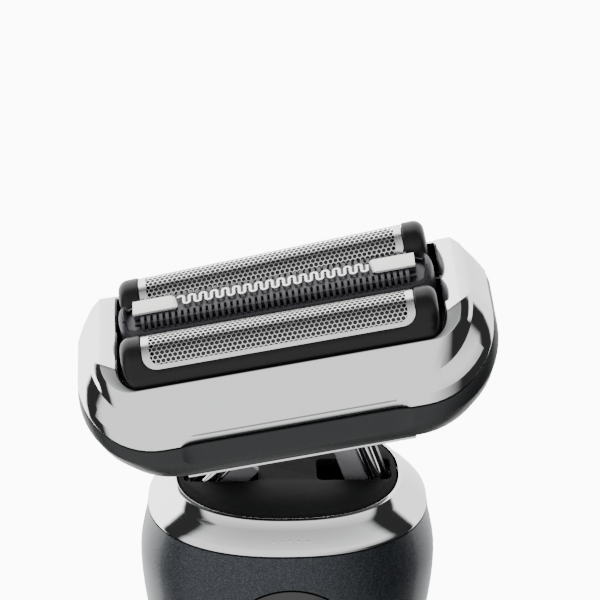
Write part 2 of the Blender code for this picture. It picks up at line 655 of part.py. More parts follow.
def build_power_button(place, handle_place, board_front):
    """A domed button that presses a small switch on the board; the place is on its travel axis."""
    button_height = HANDLE_HEIGHT - BUTTON_DROP
    face = -skin_depth(0.0, button_height) - BUTTON_PROUD
    back = -skin_depth(0.0, button_height, SHELL_WALL) + GAP
    rings = []
    for depth, share in (*BUTTON_DOME, (back - face, 1.0)):
        ring = circle((0.0, 0.0), BUTTON_RADIUS * share, BUTTON_SIDES)
        rings.append([(x, depth, z) for x, z in ring])
    button = add_piece("power_button", "chrome", place, stack_rings(rings))
    switch_front = board_front - SWITCH_HEIGHT
    stem_end = switch_front - BUTTON_TRAVEL - RUNNING_GAP
    fuse(button, rod((0.0, 0.0), "y", BUTTON_STEM_RADIUS, back - face - GAP, stem_end - face))
    add_piece("tact_switch", "steel", handle_place,
              box((-SWITCH_HALF_WIDTH, switch_front, button_height - SWITCH_HALF_WIDTH),
                  (SWITCH_HALF_WIDTH, board_front - GAP, button_height + SWITCH_HALF_WIDTH)))


def build_neck_seat(place):
    """Chrome collar, matt neck plate and the bracket under it that holds the arms' lower pins."""
    collar_low = HANDLE_HEIGHT - COLLAR_DROP
    ridge = HANDLE_HEIGHT - RIDGE_DROP
    opening = NECK_PLATE_HALF_WIDTH + GAP
    rings = [
        oval_ring(COLLAR_HALF_WIDTH, collar_low),
        oval_ring((COLLAR_HALF_WIDTH + RIDGE_HALF_WIDTH) / 2.0 + COLLAR_CROWN_OUT,
                  (collar_low + ridge) / 2.0 + COLLAR_CROWN_UP),
        oval_ring(RIDGE_HALF_WIDTH, ridge),
        oval_ring(opening, HANDLE_HEIGHT - GAP / 3.0),
        oval_ring(opening, HANDLE_HEIGHT - NECK_PLATE_THICKNESS),
        oval_ring(COLLAR_HALF_WIDTH - COLLAR_WALL, collar_low),
    ]
    add_piece("collar_ring", "chrome", place, stack_rings(rings, looped=True))

    plate_low = HANDLE_HEIGHT - NECK_PLATE_THICKNESS
    rings = [oval_ring(NECK_PLATE_HALF_WIDTH, height) for height in (plate_low, HANDLE_HEIGHT)]
    plate = add_piece("neck_plate", "matt_black", place, stack_rings(rings))
    slot_half = ARM_HALF_DEPTH + GAP + 2.0 * ARM_BAR_RADIUS + GAP
    for side in (-1, 1):
        low_x, high_x = sorted((side * NECK_SLOT_INNER, side * NECK_SLOT_OUTER))
        cut(plate, box((low_x, -slot_half, plate_low - THROUGH), (high_x, slot_half, HANDLE_HEIGHT + THROUGH)))

    pivot_z = HANDLE_HEIGHT - GROUND_PIVOT_DROP
    floor_top = pivot_z - EYE_RADIUS - GAP
    floor_low = floor_top - BRACKET_FLOOR
    post_top = plate_low - GAP
    post_half = BRACKET_POST_HALF
    left_post = -GROUND_PIVOT_X
    right_post = GROUND_PIVOT_X
    outline = (
        (left_post - post_half, floor_low), (right_post + post_half, floor_low),
        (right_post + post_half, post_top), (right_post - post_half, post_top),
        (right_post - post_half, floor_top), (left_post + post_half, floor_top),
        (left_post + post_half, post_top), (left_post - post_half, post_top),
    )
    reach = ARM_HALF_DEPTH + GAP + CHEEK
    bracket = add_piece("neck_bracket", "inner_plastic", place, prism(outline, "y", -reach, reach))
    inner = ARM_HALF_DEPTH + GAP
    cut(bracket, box((-2.0 * GROUND_PIVOT_X, -inner, floor_top), (2.0 * GROUND_PIVOT_X, inner, HANDLE_HEIGHT)))
    for side, name in ((-1, "left"), (1, "right")):
        centre = (side * GROUND_PIVOT_X, pivot_z)
        cut(bracket, rod(centre, "y", PIN_RADIUS + RUNNING_GAP, -reach - THROUGH, reach + THROUGH))
        add_piece("lower_pin_" + name, "steel", place, rod(centre, "y", PIN_RADIUS, -reach, reach))


# ---- Neck pieces ----------------------------------------------------------------------------
def link_outline(length, lower_radius, upper_radius, half_thickness):
    """Side view of an arm standing upright on its lower pivot: two round eyes and a straight web."""
    points = []
    lower_angle = math.acos(half_thickness / lower_radius)
    upper_angle = math.acos(half_thickness / upper_radius)
    for turn in spread(lower_angle, -math.pi - lower_angle, ARCH_STEPS + 2):
        points.append((lower_radius * math.cos(turn), lower_radius * math.sin(turn)))
    for turn in spread(math.pi + upper_angle, -upper_angle, ARCH_STEPS + 2):
        points.append((upper_radius * math.cos(turn), length + upper_radius * math.sin(turn)))
    return points


def build_arm(name, place, side, upper_eye, upper_gap):
    """One neck arm with its inward web, and the polished bar along its front edge."""
    length = arm_length()
    outline = link_outline(length, EYE_RADIUS, upper_eye, ARM_HALF_THICKNESS)
    arm = add_piece(name, "satin_black", place, prism(outline, "y", -ARM_HALF_DEPTH, ARM_HALF_DEPTH))
    run = ARM_HALF_DEPTH + THROUGH
    cut(arm, rod((0.0, 0.0), "y", PIN_RADIUS + RUNNING_GAP, -run, run))
    cut(arm, rod((0.0, length), "y", PIN_RADIUS + upper_gap, -run, run))
    low_x, high_x = sorted((0.0, -side * WEB_REACH))
    fuse(arm, box((low_x, -ARM_HALF_DEPTH, WEB_LOW), (high_x, -ARM_HALF_DEPTH + WEB_THICKNESS, WEB_HIGH)))
    front = -ARM_HALF_DEPTH - ARM_BAR_RADIUS - GAP
    high = length - upper_eye - GAP
    add_piece(name + "_bar", "chrome", place, rod((0.0, front), "z", ARM_BAR_RADIUS, ARM_BAR_START, high))


def build_carrier(place):
    """The rocking carrier: forks for both arms, and a tab that holds the head's swivel pin."""
    inner = ARM_HALF_DEPTH + GAP
    reach = inner + CHEEK
    centre_half = CARRIER_CENTRE_HALF
    half_height = CARRIER_HALF_HEIGHT
    outline = []
    for side in (-1, 1):
        centre = side * COUPLER_PIVOT_X
        for turn in spread(-math.pi / 2.0, math.pi / 2.0, ARCH_STEPS):
            along = centre + side * half_height * math.cos(turn)
            outline.append((along, side * half_height * math.sin(turn)))
    carrier = add_piece("head_carrier", "satin_black", place, prism(outline, "y", -reach, reach))
    wide = COUPLER_PIVOT_X + OPEN_EYE_RADIUS + THROUGH
    for side in (-1, 1):
        low_x, high_x = sorted((side * centre_half, side * wide))
        cut(carrier, box((low_x, -inner, -wide), (high_x, inner, wide)))
        centre = (side * COUPLER_PIVOT_X, 0.0)
        cut(carrier, rod(centre, "y", PIN_RADIUS + RUNNING_GAP, -reach - THROUGH, reach + THROUGH))
    lug_room = SWIVEL_RISE - SWIVEL_LUG_RADIUS - GAP
    cut(carrier, box((-centre_half, -reach - THROUGH, lug_room), (centre_half, reach + THROUGH, wide)))
    tab = [(SWIVEL_LUG_RADIUS, -half_height / 2.0), (-SWIVEL_LUG_RADIUS, -half_height / 2.0)]
    for turn in spread(math.pi, 0.0, ARCH_STEPS):
        tab.append((SWIVEL_LUG_RADIUS * math.cos(turn), SWIVEL_RISE + SWIVEL_LUG_RADIUS * math.sin(turn)))
    fuse(carrier, prism(tab, "x", -SWIVEL_TAB_HALF, SWIVEL_TAB_HALF))
    cut(carrier, rod((0.0, SWIVEL_RISE), "x", SWIVEL_PIN_RADIUS + RUNNING_GAP, -centre_half, centre_half))
    for side, name in ((-1, "left"), (1, "right")):
        centre = (side * COUPLER_PIVOT_X, 0.0)
        add_piece("upper_pin_" + name, "steel", place, rod(centre, "y", PIN_RADIUS, -reach, reach))
    pin_half = SWIVEL_TAB_HALF + GAP + SWIVEL_LUG_WIDTH
    add_piece("swivel_pin", "steel", place,
              rod((0.0, SWIVEL_RISE), "x", SWIVEL_PIN_RADIUS, -pin_half, pin_half))


# ---- Head shape -----------------------------------------------------------------------------
def boat_ring(half_width, half_depth, corner, level, end_level):
    """A rounded rectangle whose short ends ride up from level to end_level round its corners."""
    points = []
    for quarter in range(4):
        side_x = 1 if quarter in (0, 3) else -1
        side_y = 1 if quarter in (0, 1) else -1
        for step in range(CORNER_STEPS + 1):
            turn = math.pi / 2.0 * (quarter + step / CORNER_STEPS)
            x = side_x * (half_width - corner) + corner * math.cos(turn)
            y = side_y * (half_depth - corner) + corner * math.sin(turn)
            rise = 1.0 - abs(math.sin(turn))
            points.append((x, y, level + (end_level - level) * rise))
    return points


def parting_rings(lift):
    """The outer and inner edge of the joint between the base and the cassette frame."""
    rings = []
    for inset, corner in ((0.0, PARTING_CORNER), (HEAD_WALL, PARTING_CORNER - HEAD_WALL)):
        rings.append(boat_ring(HEAD_HALF_WIDTH - PARTING_INSET - inset, HEAD_HALF_DEPTH - PARTING_INSET - inset,
                               corner, PARTING_LEVEL + lift, PARTING_END_LEVEL + lift))
    return rings


def build_head_base(place):
    """The dark tub under the cassette, with the lugs it swivels on and the release hole."""
    half_width = HEAD_HALF_WIDTH
    half_depth = HEAD_HALF_DEPTH
    top_outer, top_inner = parting_rings(-GAP)
    rings = [
        boat_ring(half_width - BASE_FLOOR_INSET_X, half_depth - BASE_FLOOR_INSET_Y, BASE_FLOOR_CORNER,
                  BASE_FLOOR_LEVEL, BASE_FLOOR_LEVEL),
        boat_ring(half_width - BASE_BILGE_INSET_X, half_depth - BASE_BILGE_INSET_Y, BASE_BILGE_CORNER,
                  BASE_FLOOR_LEVEL + BASE_BILGE_RISE, BASE_BILGE_END_LEVEL),
        boat_ring(half_width, half_depth, BASE_WIDEST_CORNER, BASE_WIDEST_LEVEL, BASE_WIDEST_END_LEVEL),
        top_outer,
        top_inner,
        boat_ring(half_width - BASE_HOLLOW_INSET_X, half_depth - BASE_HOLLOW_INSET_Y, BASE_HOLLOW_CORNER,
                  BASE_FLOOR_LEVEL + BASE_FLOOR_THICKNESS, BASE_FLOOR_LEVEL + BASE_FLOOR_THICKNESS),
    ]
    base = add_piece("head_base", "head_grey", place, stack_rings(rings))
    overlap = BASE_FLOOR_LEVEL + BASE_FLOOR_THICKNESS / 2.0
    lug = [(SWIVEL_LUG_RADIUS, overlap), (-SWIVEL_LUG_RADIUS, overlap)]
    for turn in spread(-math.pi, 0.0, ARCH_STEPS):
        lug.append((SWIVEL_LUG_RADIUS * math.cos(turn), -SWIVEL_DROP + SWIVEL_LUG_RADIUS * math.sin(turn)))
    start = SWIVEL_TAB_HALF + GAP
    for side in (-1, 1):
        near, far = sorted((side * start, side * (start + SWIVEL_LUG_WIDTH)))
        fuse(base, prism(lug, "x", near, far))
    reach = start + SWIVEL_LUG_WIDTH + THROUGH
    cut(base, rod((0.0, -SWIVEL_DROP), "x", SWIVEL_PIN_RADIUS + RUNNING_GAP, -reach, reach))
    cut(base, box((-RELEASE_HALF_WIDTH - GAP, half_depth - 3.0 * HEAD_WALL, RELEASE_LOW - GAP),
                  (RELEASE_HALF_WIDTH + GAP, half_depth + THROUGH, RELEASE_HIGH + GAP)))
    boss_top = COVER_LEVEL - GAP
    for side in (-1, 1):
        centre = (side * HEAD_SCREW_SPACING, 0.0)
        fuse(base, rod(centre, "z", SCREW_BOSS_RADIUS, overlap, boss_top))
        cut(base, rod(centre, "z", SCREW_SHANK_RADIUS + RUNNING_GAP, BASE_FLOOR_LEVEL + BASE_FLOOR_THICKNESS,
                      boss_top + THROUGH))


def build_motor(place):
    """Cover plate, linear motor core and winding, and the two screws that hold the cover."""
    rings = [boat_ring(HEAD_HALF_WIDTH - BASE_HOLLOW_INSET_X, HEAD_HALF_DEPTH - COVER_INSET_Y, COVER_CORNER,
                       height, height)
             for height in (COVER_LEVEL, COVER_LEVEL + COVER_THICKNESS)]
    cover = add_piece("motor_cover", "inner_plastic", place, stack_rings(rings))
    for side in (-1, 1):
        cut(cover, pin_slot(side * FOIL_SPACING, COVER_LEVEL - THROUGH, COVER_LEVEL + THROUGH))
    low = BASE_FLOOR_LEVEL + BASE_FLOOR_THICKNESS + GAP
    add_piece("motor_core", "cutter_steel", place,
              box((-STATOR_HALF_LENGTH, -STATOR_HALF_DEPTH, low),
                  (STATOR_HALF_LENGTH, STATOR_HALF_DEPTH, COVER_LEVEL - GAP)))
    inner_x = STATOR_HALF_LENGTH + GAP
    inner_y = STATOR_HALF_DEPTH + GAP
    winding = [boat_ring(inner_x + out, inner_y + out, COIL_CORNER + out, height, height)
               for out, height in ((COIL_WIDTH, COIL_BOTTOM), (COIL_WIDTH, COIL_TOP), (0.0, COIL_TOP),
                                   (0.0, COIL_BOTTOM))]
    add_piece("motor_winding", "copper", place, stack_rings(winding, looped=True))
    screw_low = COVER_LEVEL + COVER_THICKNESS + RUNNING_GAP
    for side, name in ((-1, "left"), (1, "right")):
        centre = (side * HEAD_SCREW_SPACING, 0.0)
        cut(cover, rod(centre, "z", SCREW_SHANK_RADIUS + RUNNING_GAP, COVER_LEVEL - THROUGH,
                       COVER_LEVEL + THROUGH))
        screw = add_piece("cover_screw_" + name, "steel", place,
                          rod(centre, "z", SCREW_SHANK_RADIUS, BASE_FLOOR_LEVEL + BASE_FLOOR_THICKNESS + GAP,
                              screw_low + SCREW_HEAD_HEIGHT / 2.0))
        fuse(screw, rod(centre, "z", SCREW_HEAD_RADIUS, screw_low, screw_low + SCREW_HEAD_HEIGHT))


def pin_slot(centre_y, low, high):
    """Room for a drive pin and its stroke."""
    half_x = DRIVE_PIN_RADIUS + STROKE + GAP
    half_y = DRIVE_PIN_RADIUS + GAP
    return box((-half_x, centre_y - half_y, low), (half_x, centre_y + half_y, high))


def build_armature(name, place, side):
    """A moving bar of the linear motor with the pin that drives one cutter."""
    centre_y = side * FOIL_SPACING
    bar = add_piece(name, "steel", place,
                    box((-ARMATURE_HALF_LENGTH, centre_y - ARMATURE_HALF_DEPTH, ARMATURE_BOTTOM),
                        (ARMATURE_HALF_LENGTH, centre_y + ARMATURE_HALF_DEPTH, ARMATURE_TOP)))
    fuse(bar, rod((0.0, centre_y), "z", DRIVE_PIN_RADIUS, ARMATURE_TOP - GAP, DRIVE_PIN_TOP))


def build_release(place):
    """The button at the back that lets the cassette go; its place is on its travel axis."""
    face = HEAD_HALF_DEPTH + RELEASE_PROUD
    inner = RELEASE_HALF_WIDTH - RELEASE_CHAMFER_WIDTH
    outline = ((-RELEASE_HALF_WIDTH, face - RELEASE_DEPTH), (RELEASE_HALF_WIDTH, face - RELEASE_DEPTH),
               (RELEASE_HALF_WIDTH, face - RELEASE_CHAMFER_DEPTH), (inner, face),
               (-inner, face), (-RELEASE_HALF_WIDTH, face - RELEASE_CHAMFER_DEPTH))
    add_piece("release_button", "satin_black", place, prism(outline, "z", RELEASE_LOW, RELEASE_HIGH))


# ---- Cassette -------------------------------------------------------------------------------
def build_cassette(place):
    """Chrome frame and the black tray that carries both cartridges and the trimmer."""
    inner_x = RIM_HALF_WIDTH - RIM_WALL
    inner_y = RIM_HALF_DEPTH - RIM_WALL
    low_outer, low_inner = parting_rings(0.0)
    rings = [
        low_outer,
        boat_ring(HEAD_HALF_WIDTH - CREASE_INSET_X, HEAD_HALF_DEPTH - CREASE_INSET_Y, CREASE_CORNER,
                  CREASE_LEVEL, CREASE_END_LEVEL),
        boat_ring(RIM_HALF_WIDTH, RIM_HALF_DEPTH, RIM_CORNER, RIM_LEVEL, RIM_END_LEVEL),
        boat_ring(inner_x, inner_y, RIM_CORNER - RIM_WALL, RIM_LEVEL, RIM_END_LEVEL),
        boat_ring(inner_x, inner_y, RIM_CORNER - RIM_WALL, CREASE_LEVEL, CREASE_LEVEL),
        low_inner,
    ]
    add_piece("cassette_frame", "chrome", place, stack_rings(rings, looped=True))

    wall = TRAY_WALL
    out_x = RIM_HALF_WIDTH + TRAY_WALL
    out_y = RIM_HALF_DEPTH + TRAY_WALL / 2.0
    low = TRAY_LEVEL
    high = TRAY_LEVEL + TRAY_HEIGHT
    rings = [
        boat_ring(out_x, out_y, TRAY_CORNER, low, low),
        boat_ring(out_x, out_y, TRAY_CORNER, high, high),
        boat_ring(out_x - wall, out_y - wall, TRAY_CORNER - wall, high, high),
        boat_ring(out_x - wall, out_y - wall, TRAY_CORNER - wall, low + TRAY_THICKNESS, low + TRAY_THICKNESS),
    ]
    tray = add_piece("cassette_tray", "satin_black", place, stack_rings(rings))
    floor_low = low - THROUGH
    floor_high = low + THROUGH
    for side in (-1, 1):
        cut(tray, pin_slot(side * FOIL_SPACING, floor_low, floor_high))
        cut(tray, rod((side * HEAD_SCREW_SPACING, 0.0), "z", SCREW_HEAD_RADIUS + GAP, floor_low, floor_high))


def arch_outline(radius, level, bottom):
    """End view of a shaving element: upright sides under a half round."""
    points = [(-radius, bottom), (radius, bottom)]
    for turn in spread(0.0, math.pi, ARCH_STEPS + 1):
        points.append((radius * math.cos(turn), level + radius * math.sin(turn)))
    return points


def build_cartridge(name, place):
    """A cartridge frame with arched ends, its foil and the cutter that the foil covers."""
    full = arch_outline(FOIL_RADIUS, FOIL_LEVEL, CARTRIDGE_BOTTOM)
    middle = (FOIL_LEVEL + FOIL_RADIUS + CARTRIDGE_BOTTOM) / 2.0
    small = [(y * CARTRIDGE_END_DEPTH_SHARE, middle + (z - middle) * CARTRIDGE_END_HEIGHT_SHARE)
             for y, z in full]
    rings = []
    shoulder = CARTRIDGE_HALF_LENGTH - CARTRIDGE_END_TAPER
    for x, section in ((-CARTRIDGE_HALF_LENGTH, small), (-shoulder, full), (shoulder, full),
                       (CARTRIDGE_HALF_LENGTH, small)):
        rings.append([(x, y, z) for y, z in section])
    frame = add_piece(name + "_cartridge_frame", "satin_black", place, stack_rings(rings))
    window = FOIL_HALF_LENGTH + GAP
    ledge = FOIL_LEVEL - FOIL_LEG - GAP
    reach = 2.0 * FOIL_RADIUS
    cut(frame, box((-window, -reach, ledge), (window, reach, FOIL_LEVEL + reach)))
    inner = FOIL_RADIUS - CARTRIDGE_WALL
    cut(frame, box((-window, -inner, 0.0), (window, inner, FOIL_LEVEL + reach)))

    outer = [(FOIL_RADIUS, FOIL_LEVEL - FOIL_LEG)]
    outer += arch_outline(FOIL_RADIUS, FOIL_LEVEL, 0.0)[2:]
    outer += [(-FOIL_RADIUS, FOIL_LEVEL - FOIL_LEG)]
    hollow = FOIL_RADIUS - FOIL_THICKNESS
    inside = [(hollow, FOIL_LEVEL - FOIL_LEG)]
    inside += arch_outline(hollow, FOIL_LEVEL, 0.0)[2:]
    inside += [(-hollow, FOIL_LEVEL - FOIL_LEG)]
    foil = prism(outer + list(reversed(inside)), "x", -FOIL_HALF_LENGTH, FOIL_HALF_LENGTH)
    add_piece(name + "_foil", "foil_steel", place, foil)


def build_cutter(name, place):
    """The block of cutting blades under one foil, with the socket for its drive pin."""
    radius = FOIL_RADIUS - FOIL_THICKNESS - CUTTER_CLEARANCE
    outline = arch_outline(radius, FOIL_LEVEL, CUTTER_BOTTOM)
    cutter = add_piece(name + "_cutter", "cutter_steel", place,
                       prism(outline, "x", -CUTTER_HALF_LENGTH, CUTTER_HALF_LENGTH))
    half = DRIVE_PIN_RADIUS + RUNNING_GAP
    lean = half + CUTTER_SOCKET_SLACK
    socket_top = DRIVE_PIN_TOP + FLOAT_TRAVEL + GAP
    cut(cutter, box((-lean, -half, CUTTER_BOTTOM - THROUGH), (lean, half, socket_top)))
    hollow = arch_outline(radius - CUTTER_WALL, FOIL_LEVEL, CUTTER_BOTTOM - THROUGH)
    near = lean + CUTTER_WALL
    far = CUTTER_HALF_LENGTH - CUTTER_WALL
    for side in (-1, 1):
        start, end = sorted((side * near, side * far))
        cut(cutter, prism(hollow, "x", start, end))


def build_trimmer(place):
    """The floating middle trimmer: holder, fixed comb, wavy guard strip and two end plates."""
    top = TRIMMER_TOP - GUARD_THICKNESS - GAP
    outline = ((-TRIMMER_HALF_DEPTH, TRIMMER_BOTTOM), (TRIMMER_HALF_DEPTH, TRIMMER_BOTTOM),
               (TRIMMER_HALF_DEPTH, TRIMMER_SHOULDER - TRIMMER_CHAMFER), (BLADE_HALF_DEPTH, TRIMMER_SHOULDER),
               (-BLADE_HALF_DEPTH, TRIMMER_SHOULDER), (-TRIMMER_HALF_DEPTH, TRIMMER_SHOULDER - TRIMMER_CHAMFER))
    holder = add_piece("trimmer_holder", "trimmer_grey", place,
                       prism(outline, "x", -TRIMMER_HALF_LENGTH, TRIMMER_HALF_LENGTH))
    hollow = TRIMMER_HALF_DEPTH - TRIMMER_WALL
    cut(holder, box((-TRIMMER_WINDOW_HALF, -hollow, TRIMMER_BOTTOM - THROUGH),
                    (TRIMMER_WINDOW_HALF, hollow, top - TRIMMER_ROOF)))
    comb_low = TRIMMER_SHOULDER + GAP + BLADE_THICKNESS + RUNNING_GAP
    comb_length = TRIMMER_HALF_LENGTH - COMB_END_INSET
    add_piece("trimmer_comb", "foil_steel", place,
              box((-comb_length, -BLADE_HALF_DEPTH, comb_low),
                  (comb_length, BLADE_HALF_DEPTH, comb_low + GUARD_THICKNESS)))
    strip_low = comb_low + GUARD_THICKNESS + RUNNING_GAP
    add_piece("trimmer_guard_strip", "foil_steel", place,
              box((-STRIP_HALF_LENGTH, -STRIP_HALF_DEPTH, strip_low),
                  (STRIP_HALF_LENGTH, STRIP_HALF_DEPTH, TRIMMER_TOP)))
    for side, name in ((-1, "left"), (1, "right")):
        near = side * (STRIP_HALF_LENGTH + GAP)
        far = side * (STRIP_HALF_LENGTH + GAP + END_PLATE_LENGTH)
        low_x, high_x = sorted((near, far))
        add_piece("trimmer_end_plate_" + name, "white_metal", place,
                  box((low_x, -END_PLATE_HALF_DEPTH, strip_low), (high_x, END_PLATE_HALF_DEPTH, TRIMMER_TOP)))


def build_trimmer_blade(place):
    """The moving blade that slides under the trimmer's comb."""
    low = TRIMMER_SHOULDER + GAP
    length = TRIMMER_HALF_LENGTH - COMB_END_INSET - STROKE - GAP
    add_piece("trimmer_blade", "cutter_steel", place,
              box((-length, -BLADE_HALF_DEPTH + GAP, low),
                  (length, BLADE_HALF_DEPTH - GAP, low + BLADE_THICKNESS)))


def build_trimmer_springs(place):
    """Two coil springs that lift the trimmer."""
    low = TRAY_LEVEL + TRAY_THICKNESS + GAP
    high = TRIMMER_BOTTOM + SPRING_SEAT
    for side, name in ((-1, "left"), (1, "right")):
        add_piece("trimmer_spring_" + name, "steel", place,
                  coil((side * SPRING_SPACING, 0.0), SPRING_RADIUS, SPRING_WIRE, SPRING_TURNS, low, high))


# ---- Assembly -------------------------------------------------------------------------------
def arm_place(name, parent, side, coupler):
    """An upright arm frame on its lower pin, leaning towards its coupler pivot."""
    ground = Vector((side * GROUND_PIVOT_X, HANDLE_HEIGHT - GROUND_PIVOT_DROP))
    lean = math.atan2(coupler.x - ground.x, coupler.y - ground.y)
    foot = Matrix.Translation((ground.x, 0.0, ground.y))
    return add_place(name, parent, foot @ Matrix.Rotation(lean, 4, "Y"))


def build_shaver():
    remove_everything()
    handle = add_place("handle_place", None, Matrix.Identity(4))
    build_casing(handle)
    build_foot(handle)
    board_front = build_inside(handle)
    button_height = HANDLE_HEIGHT - BUTTON_DROP
    face = -skin_depth(0.0, button_height) - BUTTON_PROUD
    button = add_place("power_button_place", handle, Matrix.Translation((0.0, face, button_height)))
    build_power_button(button, handle, board_front)
    build_neck_seat(handle)

    left, right = linkage_at(HEAD_ROLL)
    left_arm = arm_place("left_arm_place", handle, -1, left)
    build_arm("left_arm", left_arm, -1, EYE_RADIUS, RUNNING_GAP)
    right_arm = arm_place("right_arm_place", handle, 1, right)
    build_arm("right_arm", right_arm, 1, OPEN_EYE_RADIUS, OPEN_PIVOT_CLEARANCE)

    middle = (left + right) / 2.0
    roll = Matrix.Translation((middle.x, 0.0, middle.y)) @ Matrix.Rotation(-HEAD_ROLL, 4, "Y")
    carrier = add_place("head_carrier_place", handle, roll)
    build_carrier(carrier)

    swivel = Matrix.Translation((0.0, 0.0, SWIVEL_RISE)) @ Matrix.Rotation(HEAD_PITCH, 4, "X")
    swivel_place = add_place("head_swivel_place", carrier, swivel)
    head = add_place("head_place", swivel_place, Matrix.Translation((0.0, 0.0, SWIVEL_DROP)))
    build_head_base(head)
    build_motor(head)
    build_release(head)
    build_armature("front_armature", head, -1)
    build_armature("rear_armature", head, 1)

    build_cassette(head)
    front = add_place("front_cartridge_place", head, Matrix.Translation((0.0, -FOIL_SPACING, 0.0)))
    rocked = Matrix.Translation((0.0, FOIL_SPACING, CARTRIDGE_BOTTOM)) @ Matrix.Rotation(-REAR_ROCK, 4, "Y")
    rear = add_place("rear_cartridge_place", head, rocked @ Matrix.Translation((0.0, 0.0, -CARTRIDGE_BOTTOM)))
    for name, place in (("front", front), ("rear", rear)):
        build_cartridge(name, place)
        build_cutter(name, place)
    build_trimmer(head)
    build_trimmer_blade(head)
    build_trimmer_springs(head)


build_shaver()
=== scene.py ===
# %% [markdown]
# # The looks of a foil shaver
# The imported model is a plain, working shaver: every piece is there, at its size, and it moves. This
# lesson makes the surfaces that a person sees around that model. Each step says what a piece is on the
# real object, how it could be made in Blender, and why it is made the way it is made here.

# %% The frame
import json
import math

import bmesh
import bpy
from mathutils import Matrix, Vector


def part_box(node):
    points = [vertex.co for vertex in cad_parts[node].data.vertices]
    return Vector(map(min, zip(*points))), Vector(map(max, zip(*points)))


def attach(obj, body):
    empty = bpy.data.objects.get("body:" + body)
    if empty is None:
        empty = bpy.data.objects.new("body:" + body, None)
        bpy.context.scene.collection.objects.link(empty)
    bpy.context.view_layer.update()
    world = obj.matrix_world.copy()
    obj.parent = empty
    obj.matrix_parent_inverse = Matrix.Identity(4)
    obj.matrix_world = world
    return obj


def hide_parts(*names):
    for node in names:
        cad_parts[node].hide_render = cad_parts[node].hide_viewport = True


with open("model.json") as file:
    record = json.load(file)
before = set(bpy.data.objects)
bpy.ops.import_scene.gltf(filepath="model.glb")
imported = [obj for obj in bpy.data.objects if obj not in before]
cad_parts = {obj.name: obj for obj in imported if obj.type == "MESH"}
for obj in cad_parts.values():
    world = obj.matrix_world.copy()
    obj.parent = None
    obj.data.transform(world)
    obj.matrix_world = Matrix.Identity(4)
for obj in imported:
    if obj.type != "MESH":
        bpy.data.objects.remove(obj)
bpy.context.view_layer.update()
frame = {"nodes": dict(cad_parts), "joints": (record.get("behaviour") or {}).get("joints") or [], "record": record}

MM = 0.001
joints = {joint["name"]: joint for joint in frame["joints"]}

# %% [markdown]
# The head leans: it is rolled on its neck and tipped forward. Modelling in leaning coordinates is
# hard to read, so each head piece is modelled upright around the head's own origin and is then put in
# its place by one matrix. The matrix comes from two joint axes of the frame, so it always fits.

# %% The head's place
HANDLE_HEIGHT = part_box("neck_plate")[1].z
SWIVEL_DROP = 7.2 * MM
CARTRIDGE_BOTTOM = 4.6 * MM
FOIL_SPACING = 8.72 * MM


def place_from(along, up, origin):
    """A place whose X runs along one axis and whose Z runs up another."""
    across = up.cross(along).normalized()
    turned = Matrix((along.normalized(), across, up.normalized())).transposed()
    return Matrix.Translation(origin) @ turned.to_4x4()


head_along = Vector(joints["head_pitch"]["axis"])
head_up = Vector(joints["cassette_lift"]["axis"])
swivel = Vector(joints["head_pitch"]["pos_m"])
HEAD = place_from(head_along, head_up, swivel + head_up.normalized() * SWIVEL_DROP)
FRONT = HEAD @ Matrix.Translation((0.0, -FOIL_SPACING, 0.0))
rear_along = Vector(joints["rear_cutter_stroke"]["axis"])
across = head_up.cross(head_along)
rear_seat = HEAD @ Vector((0.0, FOIL_SPACING, CARTRIDGE_BOTTOM))
REAR = place_from(rear_along, rear_along.cross(across), rear_seat)
REAR = REAR @ Matrix.Translation((0.0, 0.0, -CARTRIDGE_BOTTOM))
print("head origin (mm):", [round(value / MM, 2) for value in HEAD.translation])

# %% [markdown]
# ## A small tool box
# Blender's operators act on whatever is selected, and the frame arrives selected. So each tool here
# first clears the selection, then picks what it needs by place, as a hand would with a box select.

# %% Selecting
def clear():
    """Back to object mode with nothing selected."""
    if bpy.context.object and bpy.context.object.mode != "OBJECT":
        bpy.ops.object.mode_set(mode="OBJECT")
    bpy.ops.object.select_all(action="DESELECT")


def only(piece):
    """Selects one piece and makes it the active one."""
    clear()
    piece.select_set(True)
    bpy.context.view_layer.objects.active = piece
    return piece


def pick_faces(piece, wanted):
    """In edit mode, selects the faces whose middle and normal pass a test, and returns how many."""
    bpy.ops.mesh.select_mode(type="FACE")
    bpy.ops.mesh.select_all(action="DESELECT")
    mesh = bmesh.from_edit_mesh(piece.data)
    picked = [face for face in mesh.faces if wanted(face.calc_center_median(), face.normal)]
    for face in picked:
        face.select_set(True)
    mesh.select_flush(True)
    bmesh.update_edit_mesh(piece.data)
    return len(picked)


def pick_edges(piece, wanted):
    """In edit mode, selects the edges whose two ends pass a test."""
    bpy.ops.mesh.select_mode(type="EDGE")
    bpy.ops.mesh.select_all(action="DESELECT")
    mesh = bmesh.from_edit_mesh(piece.data)
    picked = [edge for edge in mesh.edges if wanted(edge.verts[0].co, edge.verts[1].co)]
    for edge in picked:
        edge.select_set(True)
    mesh.select_flush(True)
    bmesh.update_edit_mesh(piece.data)
    return len(picked)


print("tools: clear, only, pick_faces, pick_edges")

# %% [markdown]
# Most shells of this shaver are lofts: an outline that changes as it rises. By hand one would add a
# circle, set its points on the first outline, extrude the loop and set it on the next outline. The
# tool below does just that, so a shell is described by its outlines and nothing else.

# %% Growing a skin from outlines
def set_loop(mesh, order, outline):
    """Moves the selected loop onto an outline, and says where each point now stands."""
    loop = sorted((vert for vert in mesh.verts if vert.select), key=lambda vert: order[tuple(vert.co)])
    for vert, point in zip(loop, outline):
        vert.co = point
    return {tuple(vert.co): step for step, vert in enumerate(loop)}


